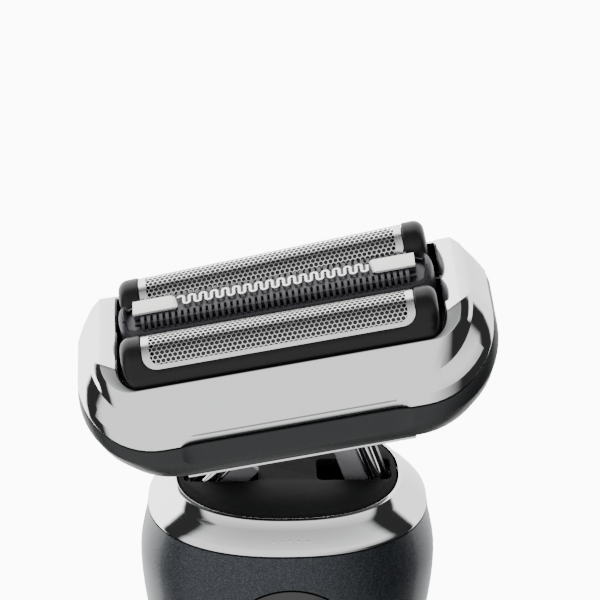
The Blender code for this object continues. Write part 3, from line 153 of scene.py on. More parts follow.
def grow(outlines, capped=(False, False), looped=False):
    """A skin through outlines of equal length: one circle, extruded and placed again and again."""
    clear()
    bpy.ops.mesh.primitive_circle_add(vertices=len(outlines[0]), radius=10.0 * MM)
    piece = bpy.context.object
    bpy.ops.object.mode_set(mode="EDIT")
    bpy.ops.mesh.select_all(action="SELECT")
    mesh = bmesh.from_edit_mesh(piece.data)
    order = {tuple(vert.co): step for step, vert in enumerate(mesh.verts)}
    order = set_loop(mesh, order, outlines[0])
    if capped[0]:
        bpy.ops.mesh.edge_face_add()
        bpy.ops.mesh.select_mode(type="EDGE")
        bpy.ops.mesh.region_to_loop()
    for outline in outlines[1:]:
        bpy.ops.mesh.extrude_edges_move()
        order = set_loop(bmesh.from_edit_mesh(piece.data), order, outline)
    if capped[1]:
        bpy.ops.mesh.edge_face_add()
    if looped:
        bpy.ops.mesh.select_all(action="SELECT")
        bpy.ops.mesh.region_to_loop()
        bpy.ops.mesh.bridge_edge_loops()
    bpy.ops.mesh.select_all(action="SELECT")
    bpy.ops.mesh.remove_doubles(threshold=0.001 * MM)
    bpy.ops.mesh.normals_make_consistent(inside=False)
    bpy.ops.object.mode_set(mode="OBJECT")
    return piece


def spread(low, high, count):
    """Evenly spaced numbers from low to high."""
    return [low + (high - low) * step / (count - 1) for step in range(count)]


def eased(share):
    """A share from 0 to 1 that starts and ends softly."""
    share = min(max(share, 0.0), 1.0)
    return share * share * (3.0 - 2.0 * share)


print("tools: grow, spread, eased")

# %% [markdown]
# Modifiers finish a piece: a bevel catches light along an edge, Solidify gives a sheet its thickness,
# an Array repeats what was modelled once and a Boolean cuts holes. They are applied at once, so the
# mesh that is seen is the mesh that is kept.

# %% Modifiers, joins and hand-over
def modify(piece, kind, **settings):
    """Adds one modifier with its settings and applies it."""
    only(piece)
    modifier = piece.modifiers.new(kind.lower(), kind)
    for name, value in settings.items():
        setattr(modifier, name, value)
    bpy.ops.object.modifier_apply(modifier=modifier.name)
    return piece


def bevel(piece, width, segments=2, angle=30.0):
    """Rounds the edges that are sharper than an angle."""
    return modify(piece, "BEVEL", width=width, segments=segments, limit_method="ANGLE",
                  angle_limit=math.radians(angle), use_clamp_overlap=True)


def drill(piece, cutter):
    """Cuts one closed shape out of another, and throws the cutter away."""
    modify(piece, "BOOLEAN", operation="DIFFERENCE", object=cutter)
    bpy.data.objects.remove(cutter)
    return piece


def join(first, *others):
    """Makes one piece of several."""
    only(first)
    for other in others:
        other.select_set(True)
    bpy.ops.object.join()
    return first


def settle(piece, place):
    """Moves a piece to its place and writes that place into its mesh."""
    only(piece)
    piece.matrix_world = place @ piece.matrix_world
    bpy.ops.object.transform_apply(location=True, rotation=True, scale=True)
    return piece


def copy_of(piece):
    """A copy with a mesh of its own."""
    twin = piece.copy()
    twin.data = piece.data.copy()
    bpy.context.scene.collection.objects.link(twin)
    return twin


hand_over = []


def install(piece, name, body, slot, place=None, stands_for=(), angle=32.0):
    """Names, places and shades a finished piece, and gives it to the body that it moves with."""
    if place:
        settle(piece, place)
    only(piece)
    bpy.ops.object.shade_smooth_by_angle(angle=math.radians(angle))
    piece.name = name
    piece.data.name = name
    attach(piece, body)
    if stands_for:
        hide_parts(*stands_for)
    hand_over.append((piece, slot))
    print(f"{name}: {len(piece.data.polygons)} faces on {body}")
    return piece


print("tools: modify, bevel, drill, join, settle, copy_of, install")

# %% [markdown]
# Primitives are only ever a start. These two add a block or a round bar where it is wanted; the steps
# that use them go on to bevel, taper, cut or join them.

# %% Blocks and bars to start from
def block(low, high):
    """A block between two corners, with its size written into its mesh."""
    clear()
    middle = (Vector(low) + Vector(high)) / 2.0
    bpy.ops.mesh.primitive_cube_add(size=1.0, location=middle)
    piece = bpy.context.object
    piece.scale = Vector(high) - Vector(low)
    bpy.ops.object.transform_apply(location=True, rotation=True, scale=True)
    return piece


def bar(centre, axis, radius, start, end, sides=32):
    """A round bar along x, y or z; centre holds its two other coordinates."""
    clear()
    half = (start + end) / 2.0
    location = {"x": (half, *centre), "y": (centre[0], half, centre[1]), "z": (*centre, half)}[axis]
    turn = {"x": (0.0, math.pi / 2.0, 0.0), "y": (math.pi / 2.0, 0.0, 0.0), "z": (0.0, 0.0, 0.0)}[axis]
    bpy.ops.mesh.primitive_cylinder_add(vertices=sides, radius=radius, depth=abs(end - start),
                                        location=location, rotation=turn)
    bpy.ops.object.transform_apply(location=True, rotation=True, scale=True)
    return bpy.context.object


print("tools: block, bar")

# %% [markdown]
# ## Head outlines
# Seen from above, the head is a rounded rectangle; seen from the front its joint line sweeps up at
# both ends, like a boat. One outline function gives both: its level rises round each corner. The
# long sides get many points, because the finger notch at the front needs them.

# %% Boat outlines
CORNER_STEPS = 14
LONG_STEPS = 64
SHORT_STEPS = 8


def rounded_loop(half_x, half_y, corner, long_steps=LONG_STEPS, short_steps=SHORT_STEPS,
                 corner_steps=CORNER_STEPS):
    """A rounded rectangle as (x, y, turn) points, where turn is the way the outline faces."""
    points = []
    for quarter in range(4):
        side_x = 1 if quarter in (0, 3) else -1
        side_y = 1 if quarter in (0, 1) else -1
        middle = (side_x * (half_x - corner), side_y * (half_y - corner))
        for step in range(corner_steps):
            turn = math.pi / 2.0 * (quarter + step / corner_steps)
            points.append((middle[0] + corner * math.cos(turn), middle[1] + corner * math.sin(turn), turn))
        turn = math.pi / 2.0 * (quarter + 1)
        start = (middle[0] + corner * math.cos(turn), middle[1] + corner * math.sin(turn))
        along = quarter % 2 == 0
        steps = long_steps if along else short_steps
        end = (-start[0], start[1]) if along else (start[0], -start[1])
        for step in range(steps):
            share = step / steps
            x = start[0] + (end[0] - start[0]) * share
            y = start[1] + (end[1] - start[1]) * share
            points.append((x, y, turn))
    return points


def boat(half_x, half_y, corner, level, end_level, shift=None):
    """The outline in space: it rises from level at the long sides to end_level at the short ends."""
    loop = []
    for x, y, turn in rounded_loop(half_x, half_y, corner):
        rise = 1.0 - abs(math.sin(turn))
        point = Vector((x, y, level + (end_level - level) * rise))
        loop.append(point + shift(x, y) if shift else point)
    return loop


NOTCH_HALF = 17.3 * MM
NOTCH_ROUND = 2.6 * MM


def notch(x, y):
    """1 along the finger notch at the front, falling to 0 in a quarter round at each of its ends."""
    past = abs(x) - (NOTCH_HALF - NOTCH_ROUND)
    if y > 0.0 or past >= NOTCH_ROUND:
        return 0.0
    return math.sqrt(1.0 - (max(past, 0.0) / NOTCH_ROUND) ** 2)


print("outline points:", len(boat(30.0 * MM, 15.0 * MM, 10.0 * MM, 0.0, 0.0)))

# %% [markdown]
# ## Cassette frame
# The bright frame is a moulding with a mirror plating. It has a steep outer wall, a crisp crease that
# climbs at the ends, a sloping inner band down to the shaving parts and, at the front, a finger
# notch: a small slanted face with round ends. It could be cut with Booleans, but the plating shows
# every flaw, so all of it is one loft whose lowest outline is moved inwards along the notch.

# %% The frame's outlines
HEAD_HALF_Y = 18.2 * MM
JOINT_LEVEL = 1.5 * MM
JOINT_END = 7.9 * MM
NOTCH_RISE = 1.35 * MM
NOTCH_DEPTH = 0.6 * MM
EDGE = 0.12 * MM


def notch_foot(x, y):
    return Vector((0.0, NOTCH_DEPTH * notch(x, y), 0.0))


def notch_top(x, y):
    return Vector((0.0, 0.0, NOTCH_RISE * notch(x, y)))


frame_outlines = [
    boat(30.6 * MM, 16.2 * MM, 10.5 * MM, JOINT_LEVEL, JOINT_END),
    boat(32.1 * MM, 17.7 * MM, 12.0 * MM, JOINT_LEVEL, JOINT_END, notch_foot),
    boat(32.1 * MM, 17.7 * MM, 12.0 * MM, JOINT_LEVEL + EDGE, JOINT_END + EDGE, notch_top),
    boat(31.6 * MM, 17.42 * MM, 11.6 * MM, 3.1 * MM, 9.0 * MM),
    boat(30.75 * MM, 16.85 * MM, 11.0 * MM, 4.1 * MM, 10.6 * MM),
    boat(29.5 * MM, 16.0 * MM, 10.0 * MM, 5.4 * MM, 12.5 * MM),
    boat(28.9 * MM, 14.9 * MM, 7.6 * MM, 7.4 * MM, 12.8 * MM),
    boat(27.6 * MM, 13.62 * MM, 4.6 * MM, 10.0 * MM, 13.1 * MM),
    boat(25.35 * MM, 13.45 * MM, 3.4 * MM, 10.1 * MM, 12.4 * MM),
    boat(25.05 * MM, 13.15 * MM, 3.1 * MM, 9.9 * MM, 12.1 * MM),
    boat(25.05 * MM, 13.15 * MM, 3.1 * MM, 5.4 * MM, 5.4 * MM),
]
cassette_frame = grow(frame_outlines, looped=True)
bevel(cassette_frame, 0.1 * MM, segments=2, angle=14.0)
install(cassette_frame, "cassette_bright_frame", "cassette", "chrome", HEAD, ["cassette_frame"], angle=40.0)

# %% [markdown]
# ## Head base
# The dark tub under the frame is satin painted. Its widest line runs round it like a waist, the notch
# goes on into it as a shallow pocket, and two lugs under its floor take the swivel pin. It is a loft
# too; the lugs are bars that are joined on, and the release button's hole is drilled through the back.

# %% The tub
FLOOR_LEVEL = -4.9 * MM
POCKET_RISE = 1.2 * MM
POCKET_DEPTH = 0.35 * MM
SEAM = 0.3 * MM


def pocket_foot(x, y):
    share = notch(x, y)
    return Vector((0.0, POCKET_DEPTH * share, -POCKET_RISE * share))


def pocket_top(x, y):
    return Vector((0.0, POCKET_DEPTH * notch(x, y), 0.0))


base_outlines = [
    boat(4.0 * MM, 2.0 * MM, 1.5 * MM, FLOOR_LEVEL, FLOOR_LEVEL),
    boat(25.6 * MM, 14.2 * MM, 9.0 * MM, FLOOR_LEVEL, FLOOR_LEVEL),
    boat(28.6 * MM, 16.1 * MM, 11.0 * MM, FLOOR_LEVEL + 0.1 * MM, -1.6 * MM),
    boat(30.0 * MM, 16.9 * MM, 12.0 * MM, -4.4 * MM, 0.2 * MM),
    boat(31.7 * MM, 17.7 * MM, 12.4 * MM, -2.6 * MM, 2.8 * MM),
    boat(32.5 * MM, 18.19 * MM, 12.5 * MM, -0.9 * MM, 5.3 * MM, pocket_foot),
    boat(32.45 * MM, 18.12 * MM, 12.4 * MM, -0.4 * MM, 6.0 * MM, pocket_top),
    boat(32.1 * MM, 17.7 * MM, 12.0 * MM, JOINT_LEVEL - SEAM, JOINT_END - SEAM, pocket_top),
    boat(30.6 * MM, 16.2 * MM, 10.5 * MM, JOINT_LEVEL - SEAM, JOINT_END - SEAM),
    boat(25.0 * MM, 14.6 * MM, 7.0 * MM, -3.9 * MM, -3.9 * MM),
    boat(4.0 * MM, 2.0 * MM, 1.5 * MM, -3.9 * MM, -3.9 * MM),
]
head_base = grow(base_outlines, capped=(True, True))
release_low, release_high = -2.6 * MM, 0.2 * MM
RELEASE_HALF = 7.0 * MM
drill(head_base, block((-RELEASE_HALF - SEAM, 13.7 * MM, release_low - SEAM),
                       (RELEASE_HALF + SEAM, 20.2 * MM, release_high + SEAM)))
bevel(head_base, 0.1 * MM, segments=2, angle=16.0)
lugs = []
for side in (-1, 1):
    near, far = sorted((side * 2.5 * MM, side * 4.3 * MM))
    boss = bar((0.0, -SWIVEL_DROP), "x", 1.9 * MM, near, far, sides=40)
    web = block((near, -1.9 * MM, -SWIVEL_DROP), (far, 1.9 * MM, FLOOR_LEVEL + 0.2 * MM))
    lugs += [bevel(boss, 0.2 * MM), bevel(web, 0.2 * MM)]
join(head_base, *lugs)
install(head_base, "head_tub", "head", "head_grey", HEAD, ["head_base"], angle=40.0)

# %% [markdown]
# Under the notch a slim bright lip closes the tub's lower edge. It is a bar that ends in points, made
# by bevelling a block.

# %% The underside lip
lip = block((-17.5 * MM, -17.02 * MM, -4.86 * MM), (17.5 * MM, -16.6 * MM, -4.42 * MM))
only(lip)
bpy.ops.object.mode_set(mode="EDIT")
pick_edges(lip, lambda a, b: abs(a.x - b.x) < 0.1 * MM)
bpy.ops.mesh.bevel(offset=0.15 * MM, segments=3)
bpy.ops.object.mode_set(mode="OBJECT")
install(lip, "head_tub_lip", "head", "chrome", HEAD)

# %% [markdown]
# ## Release button
# At the back a ribbed slide lets the cassette go. A block is bevelled, then five ribs, modelled once
# and repeated by an Array, are joined to it so that a thumb finds it.

# %% The release button
FACE = HEAD_HALF_Y + 0.5 * MM
button = block((-RELEASE_HALF, FACE - 3.6 * MM, release_low), (RELEASE_HALF, FACE - 0.25 * MM, release_high))
bevel(button, 0.5 * MM, segments=3)
rib = block((-4.8 * MM, FACE - 0.6 * MM, -2.2 * MM), (-4.2 * MM, FACE, -0.2 * MM))
bevel(rib, 0.2 * MM, segments=2)
modify(rib, "ARRAY", count=7, use_relative_offset=False, use_constant_offset=True,
       constant_offset_displace=(1.5 * MM, 0.0, 0.0))
join(button, rib)
install(button, "release_slide", "release_button", "satin_black", HEAD, ["release_button"])

# %% [markdown]
# ## Bending over the arch
# A foil is punched flat and then bent over an arch, and this lesson does the same: the pattern is made
# flat, and one function bends flat points over the arch. Past the foil's end the same function rolls
# the sheet down over the end of the cartridge, which makes the rounded end caps of its frame.

# %% The bend
FOIL_RADIUS = 4.0 * MM
FOIL_LEVEL = 11.9 * MM
FOIL_HALF = 20.75 * MM
QUARTER = FOIL_RADIUS * math.pi / 2.0
FOIL_REACH = 5.6 * MM
SWELL = 0.3 * MM
SWELL_RUN = 0.6 * MM
END_ROUND = 1.6 * MM
END_START = 24.2 * MM - END_ROUND


def over_arch(along, across_arch, lift=0.0):
    """A flat point laid over the arch, lifted off it; beyond END_START it rolls down the end."""
    past = max(abs(along) - END_START, 0.0)
    turn = min(past / END_ROUND, math.pi / 2.0)
    rest = max(past - END_ROUND * math.pi / 2.0, 0.0)
    inset = END_ROUND * (1.0 - math.cos(turn)) + rest
    reach = min(abs(along), END_START) + END_ROUND * math.sin(turn)
    radius = FOIL_RADIUS + lift - inset
    angle = max(-math.pi / 2.0, min(math.pi / 2.0, across_arch / FOIL_RADIUS))
    leg = max(abs(across_arch) - QUARTER, 0.0)
    level = FOIL_LEVEL + radius * math.cos(angle) - leg
    return Vector((math.copysign(reach, along), radius * math.sin(angle), level))


def flat_loop(half_x, half_y, corner):
    """A rounded rectangle in the flat, with points close enough together to bend."""
    return [(x, y) for x, y, turn in rounded_loop(half_x, half_y, corner, 40, 44, 8)]


print("arch length (mm):", round(2.0 * FOIL_REACH / MM, 2))

# %% [markdown]
# ## Cartridge frame
# The black frame is a moulded skin with a round-cornered window. Its outlines run from the window's
# inner edge over a small lip to the bottom edge, and every one is bent over the arch. The lip swells
# on the front and back walls, where it frames the foil's lower edge.

# %% The cartridge frames
WINDOW_X = 20.9 * MM
WINDOW_Y = FOIL_REACH + 0.1 * MM
WINDOW_CORNER = 2.3 * MM
SKIRT = QUARTER + FOIL_LEVEL - CARTRIDGE_BOTTOM
END_LENGTH = END_START + END_ROUND * math.pi / 2.0 + FOIL_RADIUS - END_ROUND - 0.05 * MM
SKIRT_STEPS = 18


def cartridge_frame():
    """The window's wall, then outlines that widen from the window to the skirt."""
    window = flat_loop(WINDOW_X, WINDOW_Y, WINDOW_CORNER)
    skirt = flat_loop(END_LENGTH, SKIRT, 0.2 * MM)
    outlines = [[over_arch(x, y, lift) for x, y in window] for lift in (-0.9 * MM, -0.12 * MM)]
    for step in range(1, SKIRT_STEPS + 1):
        share = (step / SKIRT_STEPS) ** 1.25
        ring = []
        for (x, y), (far_x, far_y) in zip(window, skirt):
            flat_x, flat_y = x + (far_x - x) * share, y + (far_y - y) * share
            below_foil = eased((abs(flat_y) - WINDOW_Y) / SWELL_RUN)
            swell = SWELL * below_foil * (1.0 - eased((share - 0.25) * 3.0))
            ring.append(over_arch(flat_x, flat_y, swell))
        outlines.append(ring)
    return grow(outlines)


for name, place in (("front", FRONT), ("rear", REAR)):
    shell = cartridge_frame()
    modify(shell, "SOLIDIFY", thickness=0.3 * MM, offset=-1.0)
    install(shell, name + "_cartridge_shell", name + "_cartridge", "satin_black", place,
            [name + "_cartridge_frame"])

# %% [markdown]
# ## Foil
# The foil is thin sheet with about a thousand holes. A texture with holes would vanish up close, so
# the holes are real: one six-sided cell is inset and its middle deleted, two Arrays repeat it as a
# honeycomb, the corners are trimmed, and the sheet is bent and given its thickness.

# %% The honeycomb sheet
PITCH = 0.76 * MM
WEB = 0.07 * MM
CELL_RADIUS = PITCH / math.sqrt(3.0)
ROW = 1.5 * CELL_RADIUS
COLUMNS = 54
ROW_PAIRS = 12
FOIL_THICKNESS = 0.07 * MM
FOIL_SINK = -0.2 * MM


def honeycomb():
    """A flat sheet of open hexagons, centred on the origin."""
    clear()
    bpy.ops.mesh.primitive_circle_add(vertices=6, radius=CELL_RADIUS, fill_type="NGON")
    sheet = bpy.context.object
    bpy.ops.object.mode_set(mode="EDIT")
    bpy.ops.mesh.select_all(action="SELECT")
    bpy.ops.mesh.inset(thickness=WEB, depth=0.0)
    bpy.ops.mesh.delete(type="FACE")
    bpy.ops.object.mode_set(mode="OBJECT")
    shared = dict(use_relative_offset=False, use_constant_offset=True, use_merge_vertices=True,
                  merge_threshold=0.01 * MM)
    modify(sheet, "ARRAY", count=2, constant_offset_displace=(PITCH / 2.0, ROW, 0.0), **shared)
    modify(sheet, "ARRAY", count=COLUMNS, constant_offset_displace=(PITCH, 0.0, 0.0), **shared)
    modify(sheet, "ARRAY", count=ROW_PAIRS, constant_offset_displace=(0.0, 2.0 * ROW, 0.0), **shared)
    half = Vector(((COLUMNS - 0.5) * PITCH / 2.0, (2 * ROW_PAIRS - 1) * ROW / 2.0, 0.0))
    return settle(sheet, Matrix.Translation(-half))


sheet = honeycomb()
print("flat foil:", len(sheet.data.polygons), "faces round", COLUMNS * 2 * ROW_PAIRS, "holes")

# %% [markdown]
# Round the perforated field runs a plain border: two outlines and the strip between them. The cells
# under the border's corners are deleted first, so that nothing sticks out of the rounded corners.

# %% Bending the foils
BORDER_X = 1.15 * MM
BORDER_Y = 0.75 * MM


def in_field(point):
    """Whether a cell's web lies inside the border's inner edge, with a little overlap."""
    past_x = abs(point.x) - (FOIL_HALF - BORDER_X - 0.9 * MM)
    past_y = abs(point.y) - (FOIL_REACH - BORDER_Y - 0.9 * MM)
    return math.hypot(max(past_x, 0.0), max(past_y, 0.0)) < 1.15 * MM


def bend(piece, lift):
    """Lays a flat piece over the arch, point by point."""
    for vert in piece.data.vertices:
        vert.co = over_arch(vert.co.x, vert.co.y, lift)
    return piece


only(sheet)
bpy.ops.object.mode_set(mode="EDIT")
trimmed = pick_faces(sheet, lambda middle, normal: not in_field(middle))
bpy.ops.mesh.delete(type="FACE")
bpy.ops.object.mode_set(mode="OBJECT")
print("cells' faces trimmed at the border:", trimmed)

for name, place in (("front", FRONT), ("rear", REAR)):
    net = bend(copy_of(sheet), FOIL_SINK)
    outer = flat_loop(FOIL_HALF, FOIL_REACH, 2.2 * MM)
    inner = flat_loop(FOIL_HALF - BORDER_X, FOIL_REACH - BORDER_Y, 1.4 * MM)
    border = grow([[over_arch(x, y, FOIL_SINK + 0.02 * MM) for x, y in ring] for ring in (outer, inner)])
    join(net, border)
    only(net)
    bpy.ops.object.mode_set(mode="EDIT")
    bpy.ops.mesh.select_all(action="SELECT")
    bpy.ops.mesh.normals_make_consistent(inside=False)
    mesh = bmesh.from_edit_mesh(net.data)
    crown = max(mesh.faces, key=lambda face: face.calc_center_median().z)
    if crown.normal.z < 0.0:
        bpy.ops.mesh.flip_normals()
    bpy.ops.object.mode_set(mode="OBJECT")
    modify(net, "SOLIDIFY", thickness=FOIL_THICKNESS, offset=-1.0)
    install(net, name + "_foil_net", name + "_cartridge", "foil_steel", place, [name + "_foil"], angle=60.0)
bpy.data.objects.remove(sheet)

# %% [markdown]
# ## Trimmer
# Between the foils floats the long-hair trimmer. Its holder is a small boat with fully round ends and
# a shelf for the comb: the ends stand higher than the sides, so the outlines get a level that steps
# down along the sides.

# %% The trimmer's holder
SHELF_HALF = 22.9 * MM


def stadium(half_x, half_y, corner, level, side_level=None):
    """A holder outline; side_level lowers it along the comb."""
    loop = []
    for x, y, turn in rounded_loop(half_x, half_y, corner, LONG_STEPS, 4, 12):
        share = eased((abs(x) - SHELF_HALF) / (0.5 * MM))
        low = level if side_level is None else side_level
        loop.append(Vector((x, y, low + (level - low) * share)))
    return loop


holder = grow([
    stadium(24.4 * MM, 4.3 * MM, 4.2 * MM, CARTRIDGE_BOTTOM),
    stadium(24.4 * MM, 4.3 * MM, 4.2 * MM, 14.0 * MM, 13.2 * MM),
    stadium(24.3 * MM, 4.2 * MM, 4.1 * MM, 14.7 * MM, 13.7 * MM),
    stadium(24.1 * MM, 4.0 * MM, 3.9 * MM, 15.25 * MM, 14.0 * MM),
    stadium(23.8 * MM, 3.8 * MM, 3.6 * MM, 15.55 * MM, 14.15 * MM),
    stadium(23.4 * MM, 3.5 * MM, 3.1 * MM, 15.62 * MM, 14.2 * MM),
    stadium(23.2 * MM, 3.2 * MM, 1.9 * MM, 15.5 * MM, 14.1 * MM),
    stadium(23.2 * MM, 3.2 * MM, 1.9 * MM, 13.6 * MM, 13.6 * MM),
], capped=(True, True))
install(holder, "trimmer_boat", "trimmer", "trimmer_grey", HEAD, ["trimmer_holder"])

# %% [markdown]
# The comb's teeth are what a trimmer is recognised by. One tooth is a block that is extruded twice at
# its outer end, each time lower and narrower, so that it bends down over the edge. An Array repeats
# it, and a mirrored copy makes the other side.

# %% The comb
TOOTH_PITCH = 0.95 * MM
TOOTH_COUNT = 44
COMB_TOP = 15.6 * MM


def tooth():
    """One tooth at the origin of its row, pointing to the back."""
    piece = block((-0.3 * MM, 1.7 * MM, COMB_TOP - 0.45 * MM), (0.3 * MM, 2.6 * MM, COMB_TOP))
    bpy.ops.object.mode_set(mode="EDIT")
    for run, drop, width in ((0.9 * MM, 0.25 * MM, 0.85), (0.55 * MM, 0.75 * MM, 0.7)):
        pick_faces(piece, lambda middle, normal: normal.y > 0.5)
        bpy.ops.mesh.extrude_region_move(TRANSFORM_OT_translate={"value": (0.0, run, -drop)})
        bpy.ops.transform.resize(value=(width, 1.0, 0.9))
    bpy.ops.object.mode_set(mode="OBJECT")
    return bevel(piece, 0.05 * MM, segments=1, angle=50.0)


row = tooth()
settle(row, Matrix.Translation((-(TOOTH_COUNT - 1) * TOOTH_PITCH / 2.0, 0.0, 0.0)))
modify(row, "ARRAY", count=TOOTH_COUNT, use_relative_offset=False, use_constant_offset=True,
       constant_offset_displace=(TOOTH_PITCH, 0.0, 0.0))
other_row = settle(copy_of(row), Matrix.Rotation(math.pi, 4, "Z"))
spine = grow([[Vector((x, y, level)) for x, y, turn in rounded_loop(21.8 * MM, 1.95 * MM, 0.5 * MM, 8, 2, 4)]
              for level in (COMB_TOP - 0.5 * MM, COMB_TOP - 0.1 * MM)], capped=(True, True))
comb = join(spine, row, other_row)
install(comb, "trimmer_comb_teeth", "trimmer", "trimmer_grey", HEAD, ["trimmer_comb"])

# %% [markdown]
# A wavy strip runs between the two rows of teeth. Its centre line is a formula, a square wave with
# round bends: a straight leg, a half turn, a leg back, a half turn the other way. An edge is extruded
# along one wave, an Array repeats the wave, and Solidify makes it a bar.

# %% The wavy guard strip
WAVE = 1.72 * MM
WAVES = 17
WAVE_REACH = 1.3 * MM
STRIP_WIDTH = 0.46 * MM
STRIP_TOP = 16.1 * MM
BEND_STEPS = 8


def wave_pairs():
    """The strip's two edges along one wave, as pairs of points."""
    quarter = WAVE / 4.0
    leg = WAVE_REACH - quarter - STRIP_WIDTH / 2.0
    stations = []
    for middle_x, side in ((quarter, 1), (3.0 * quarter, -1)):
        for step in range(BEND_STEPS + 1):
            turn = math.pi * step / BEND_STEPS
            stations.append((middle_x, side * leg, -math.cos(turn), side * math.sin(turn)))
    stations.append((5.0 * quarter, leg, -1.0, 0.0))
    pairs = []
    for middle_x, middle_y, way_x, way_y in stations:
        side = 1.0 if middle_y > 0.0 else -1.0
        inner, outer = quarter - STRIP_WIDTH / 2.0, quarter + STRIP_WIDTH / 2.0
        near = Vector((middle_x + inner * way_x, middle_y + inner * way_y, 0.0))
        far = Vector((middle_x + outer * way_x, middle_y + outer * way_y, 0.0))
        pairs.append((far, near) if side > 0.0 else (near, far))
    return pairs


def ribbon(pairs):
    """An edge extruded from pair to pair."""
    clear()
    bpy.ops.mesh.primitive_plane_add(size=1.0)
    piece = bpy.context.object
    bpy.ops.object.mode_set(mode="EDIT")
    pick_edges(piece, lambda a, b: a.y > 0.0 and b.y > 0.0)
    bpy.ops.mesh.select_mode(type="VERT")
    bpy.ops.mesh.delete(type="VERT")
    bpy.ops.mesh.select_all(action="SELECT")
    mesh = bmesh.from_edit_mesh(piece.data)
    ends = sorted(mesh.verts, key=lambda vert: vert.co.x)
    order = set_loop(mesh, {tuple(vert.co): step for step, vert in enumerate(ends)}, pairs[0])
    for pair in pairs[1:]:
        bpy.ops.mesh.extrude_edges_move()
        order = set_loop(bmesh.from_edit_mesh(piece.data), order, pair)
    bpy.ops.mesh.select_all(action="SELECT")
    bpy.ops.mesh.normals_make_consistent(inside=False)
    bpy.ops.object.mode_set(mode="OBJECT")
    return piece


strip = ribbon(wave_pairs())
modify(strip, "ARRAY", count=WAVES, use_relative_offset=False, use_constant_offset=True,
       constant_offset_displace=(WAVE, 0.0, 0.0), use_merge_vertices=True, merge_threshold=0.01 * MM)
modify(strip, "SOLIDIFY", thickness=0.36 * MM, offset=0.0)
bevel(strip, 0.06 * MM, segments=2, angle=50.0)
settle(strip, Matrix.Translation((-WAVES * WAVE / 2.0 - 0.1 * MM, 0.0, STRIP_TOP - 0.18 * MM)))
install(strip, "trimmer_wave_strip", "trimmer", "foil_steel", HEAD, ["trimmer_guard_strip"], angle=40.0)

# %% [markdown]
# Two bright plates end the strip. Each is a block whose inner end slants; the slant is made by moving
# two edges, and a bevel rounds the corners.

# %% The end plates
PLATE_SLANT = 0.55 * MM
for side, name in ((-1, "left"), (1, "right")):
    near, far = side * 14.8 * MM, side * 21.8 * MM
    low_x, high_x = sorted((near, far))
    plate = block((low_x, -1.72 * MM, STRIP_TOP - 0.38 * MM), (high_x, 1.72 * MM, STRIP_TOP))
    bpy.ops.object.mode_set(mode="EDIT")
    pick_edges(plate, lambda a, b: all(abs(end.x - near) < 0.1 * MM and end.y * side < 0.0 for end in (a, b)))
    bpy.ops.transform.translate(value=(side * PLATE_SLANT, 0.0, 0.0))
    pick_edges(plate, lambda a, b: abs(a.z - b.z) > 0.1 * MM and abs(a.x - near) < abs(a.x - far))
    bpy.ops.mesh.bevel(offset=0.5 * MM, segments=4)
    bpy.ops.object.mode_set(mode="OBJECT")
    bevel(plate, 0.07 * MM, segments=2, angle=50.0)
    install(plate, "trimmer_plate_" + name, "trimmer", "white_metal", HEAD, ["trimmer_end_plate_" + name])

# %% [markdown]
# ## Neck
# The head stands on two leaning arms. Each arm has a polished round bar at its front, a satin web that
# reaches inwards, and a slim bright bead between the two. The arms' lean comes from the frame: from
# the lower pivot to the upper one. Everything is modelled on an upright arm and then leaned.

# %% The arms
ROD_RADIUS = 0.75 * MM
ROD_FRONT = -2.25 * MM
ROD_START = 3.5 * MM
WEB_REACH = 5.2 * MM
lower_left = Vector(joints["left_arm_swing"]["pos_m"])
lower_right = Vector(joints["right_arm_swing"]["pos_m"])
upper_left = Vector(joints["carrier_rock"]["pos_m"])
pin_low, pin_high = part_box("upper_pin_right")
upper_right = (pin_low + pin_high) / 2.0
upper_right.y = 0.0
arm_length = (upper_left - lower_left).length


def rounded_rod(centre, radius, start, end):
    """A polished bar along z with domed ends."""
    piece = bar(centre, "z", radius, start, end, sides=40)
    return bevel(piece, radius * 0.45, segments=4, angle=50.0)


arms = ((-1, "left", lower_left, upper_left), (1, "right", lower_right, upper_right))
for side, name, lower, upper in arms:
    run = upper - lower
    lean = Matrix.Translation(lower) @ Matrix.Rotation(math.atan2(run.x, run.z), 4, "Y")
    eye = 1.9 * MM if side < 0 else 2.5 * MM
    rod = rounded_rod((0.0, ROD_FRONT), ROD_RADIUS, ROD_START, arm_length - eye - 0.3 * MM)
    install(rod, name + "_arm_rod", name + "_arm", "chrome", lean, [name + "_arm_bar"])
    bead = rounded_rod((-side * 1.45 * MM, -1.6 * MM), 0.28 * MM, 3.2 * MM, 10.9 * MM)
    install(bead, name + "_arm_bead", name + "_arm", "chrome", lean)
    low_x, high_x = sorted((-side * 1.75 * MM, -side * WEB_REACH))
    web = block((low_x, -1.55 * MM, 3.0 * MM), (high_x, -0.15 * MM, 10.5 * MM))
    bevel(web, 0.25 * MM, segments=3)
    install(web, name + "_arm_web", name + "_arm", "inner_plastic", lean)

# %% [markdown]
# ## Neck plate and collar
# The handle ends in a matt black plate with two slots for the arms, set in a bright collar. The
# plate's outline is a squarish oval, the same that the whole handle follows. The slots are drilled.

# %% Ovals and the plate
DEPTH_RATIO = 0.85
SQUARENESS = 2.3
PLATE_HALF = 17.2 * MM
SLOT_INNER = 4.6 * MM
SLOT_OUTER = 16.3 * MM
SLOT_HALF = 3.3 * MM


def oval_point(turn, half_x, half_y, height):
    """A point of a squarish oval."""
    power = 2.0 / SQUARENESS
    x = math.copysign(abs(math.cos(turn)) ** power, math.cos(turn))
    y = math.copysign(abs(math.sin(turn)) ** power, math.sin(turn))
    return Vector((half_x * x, half_y * y, height))


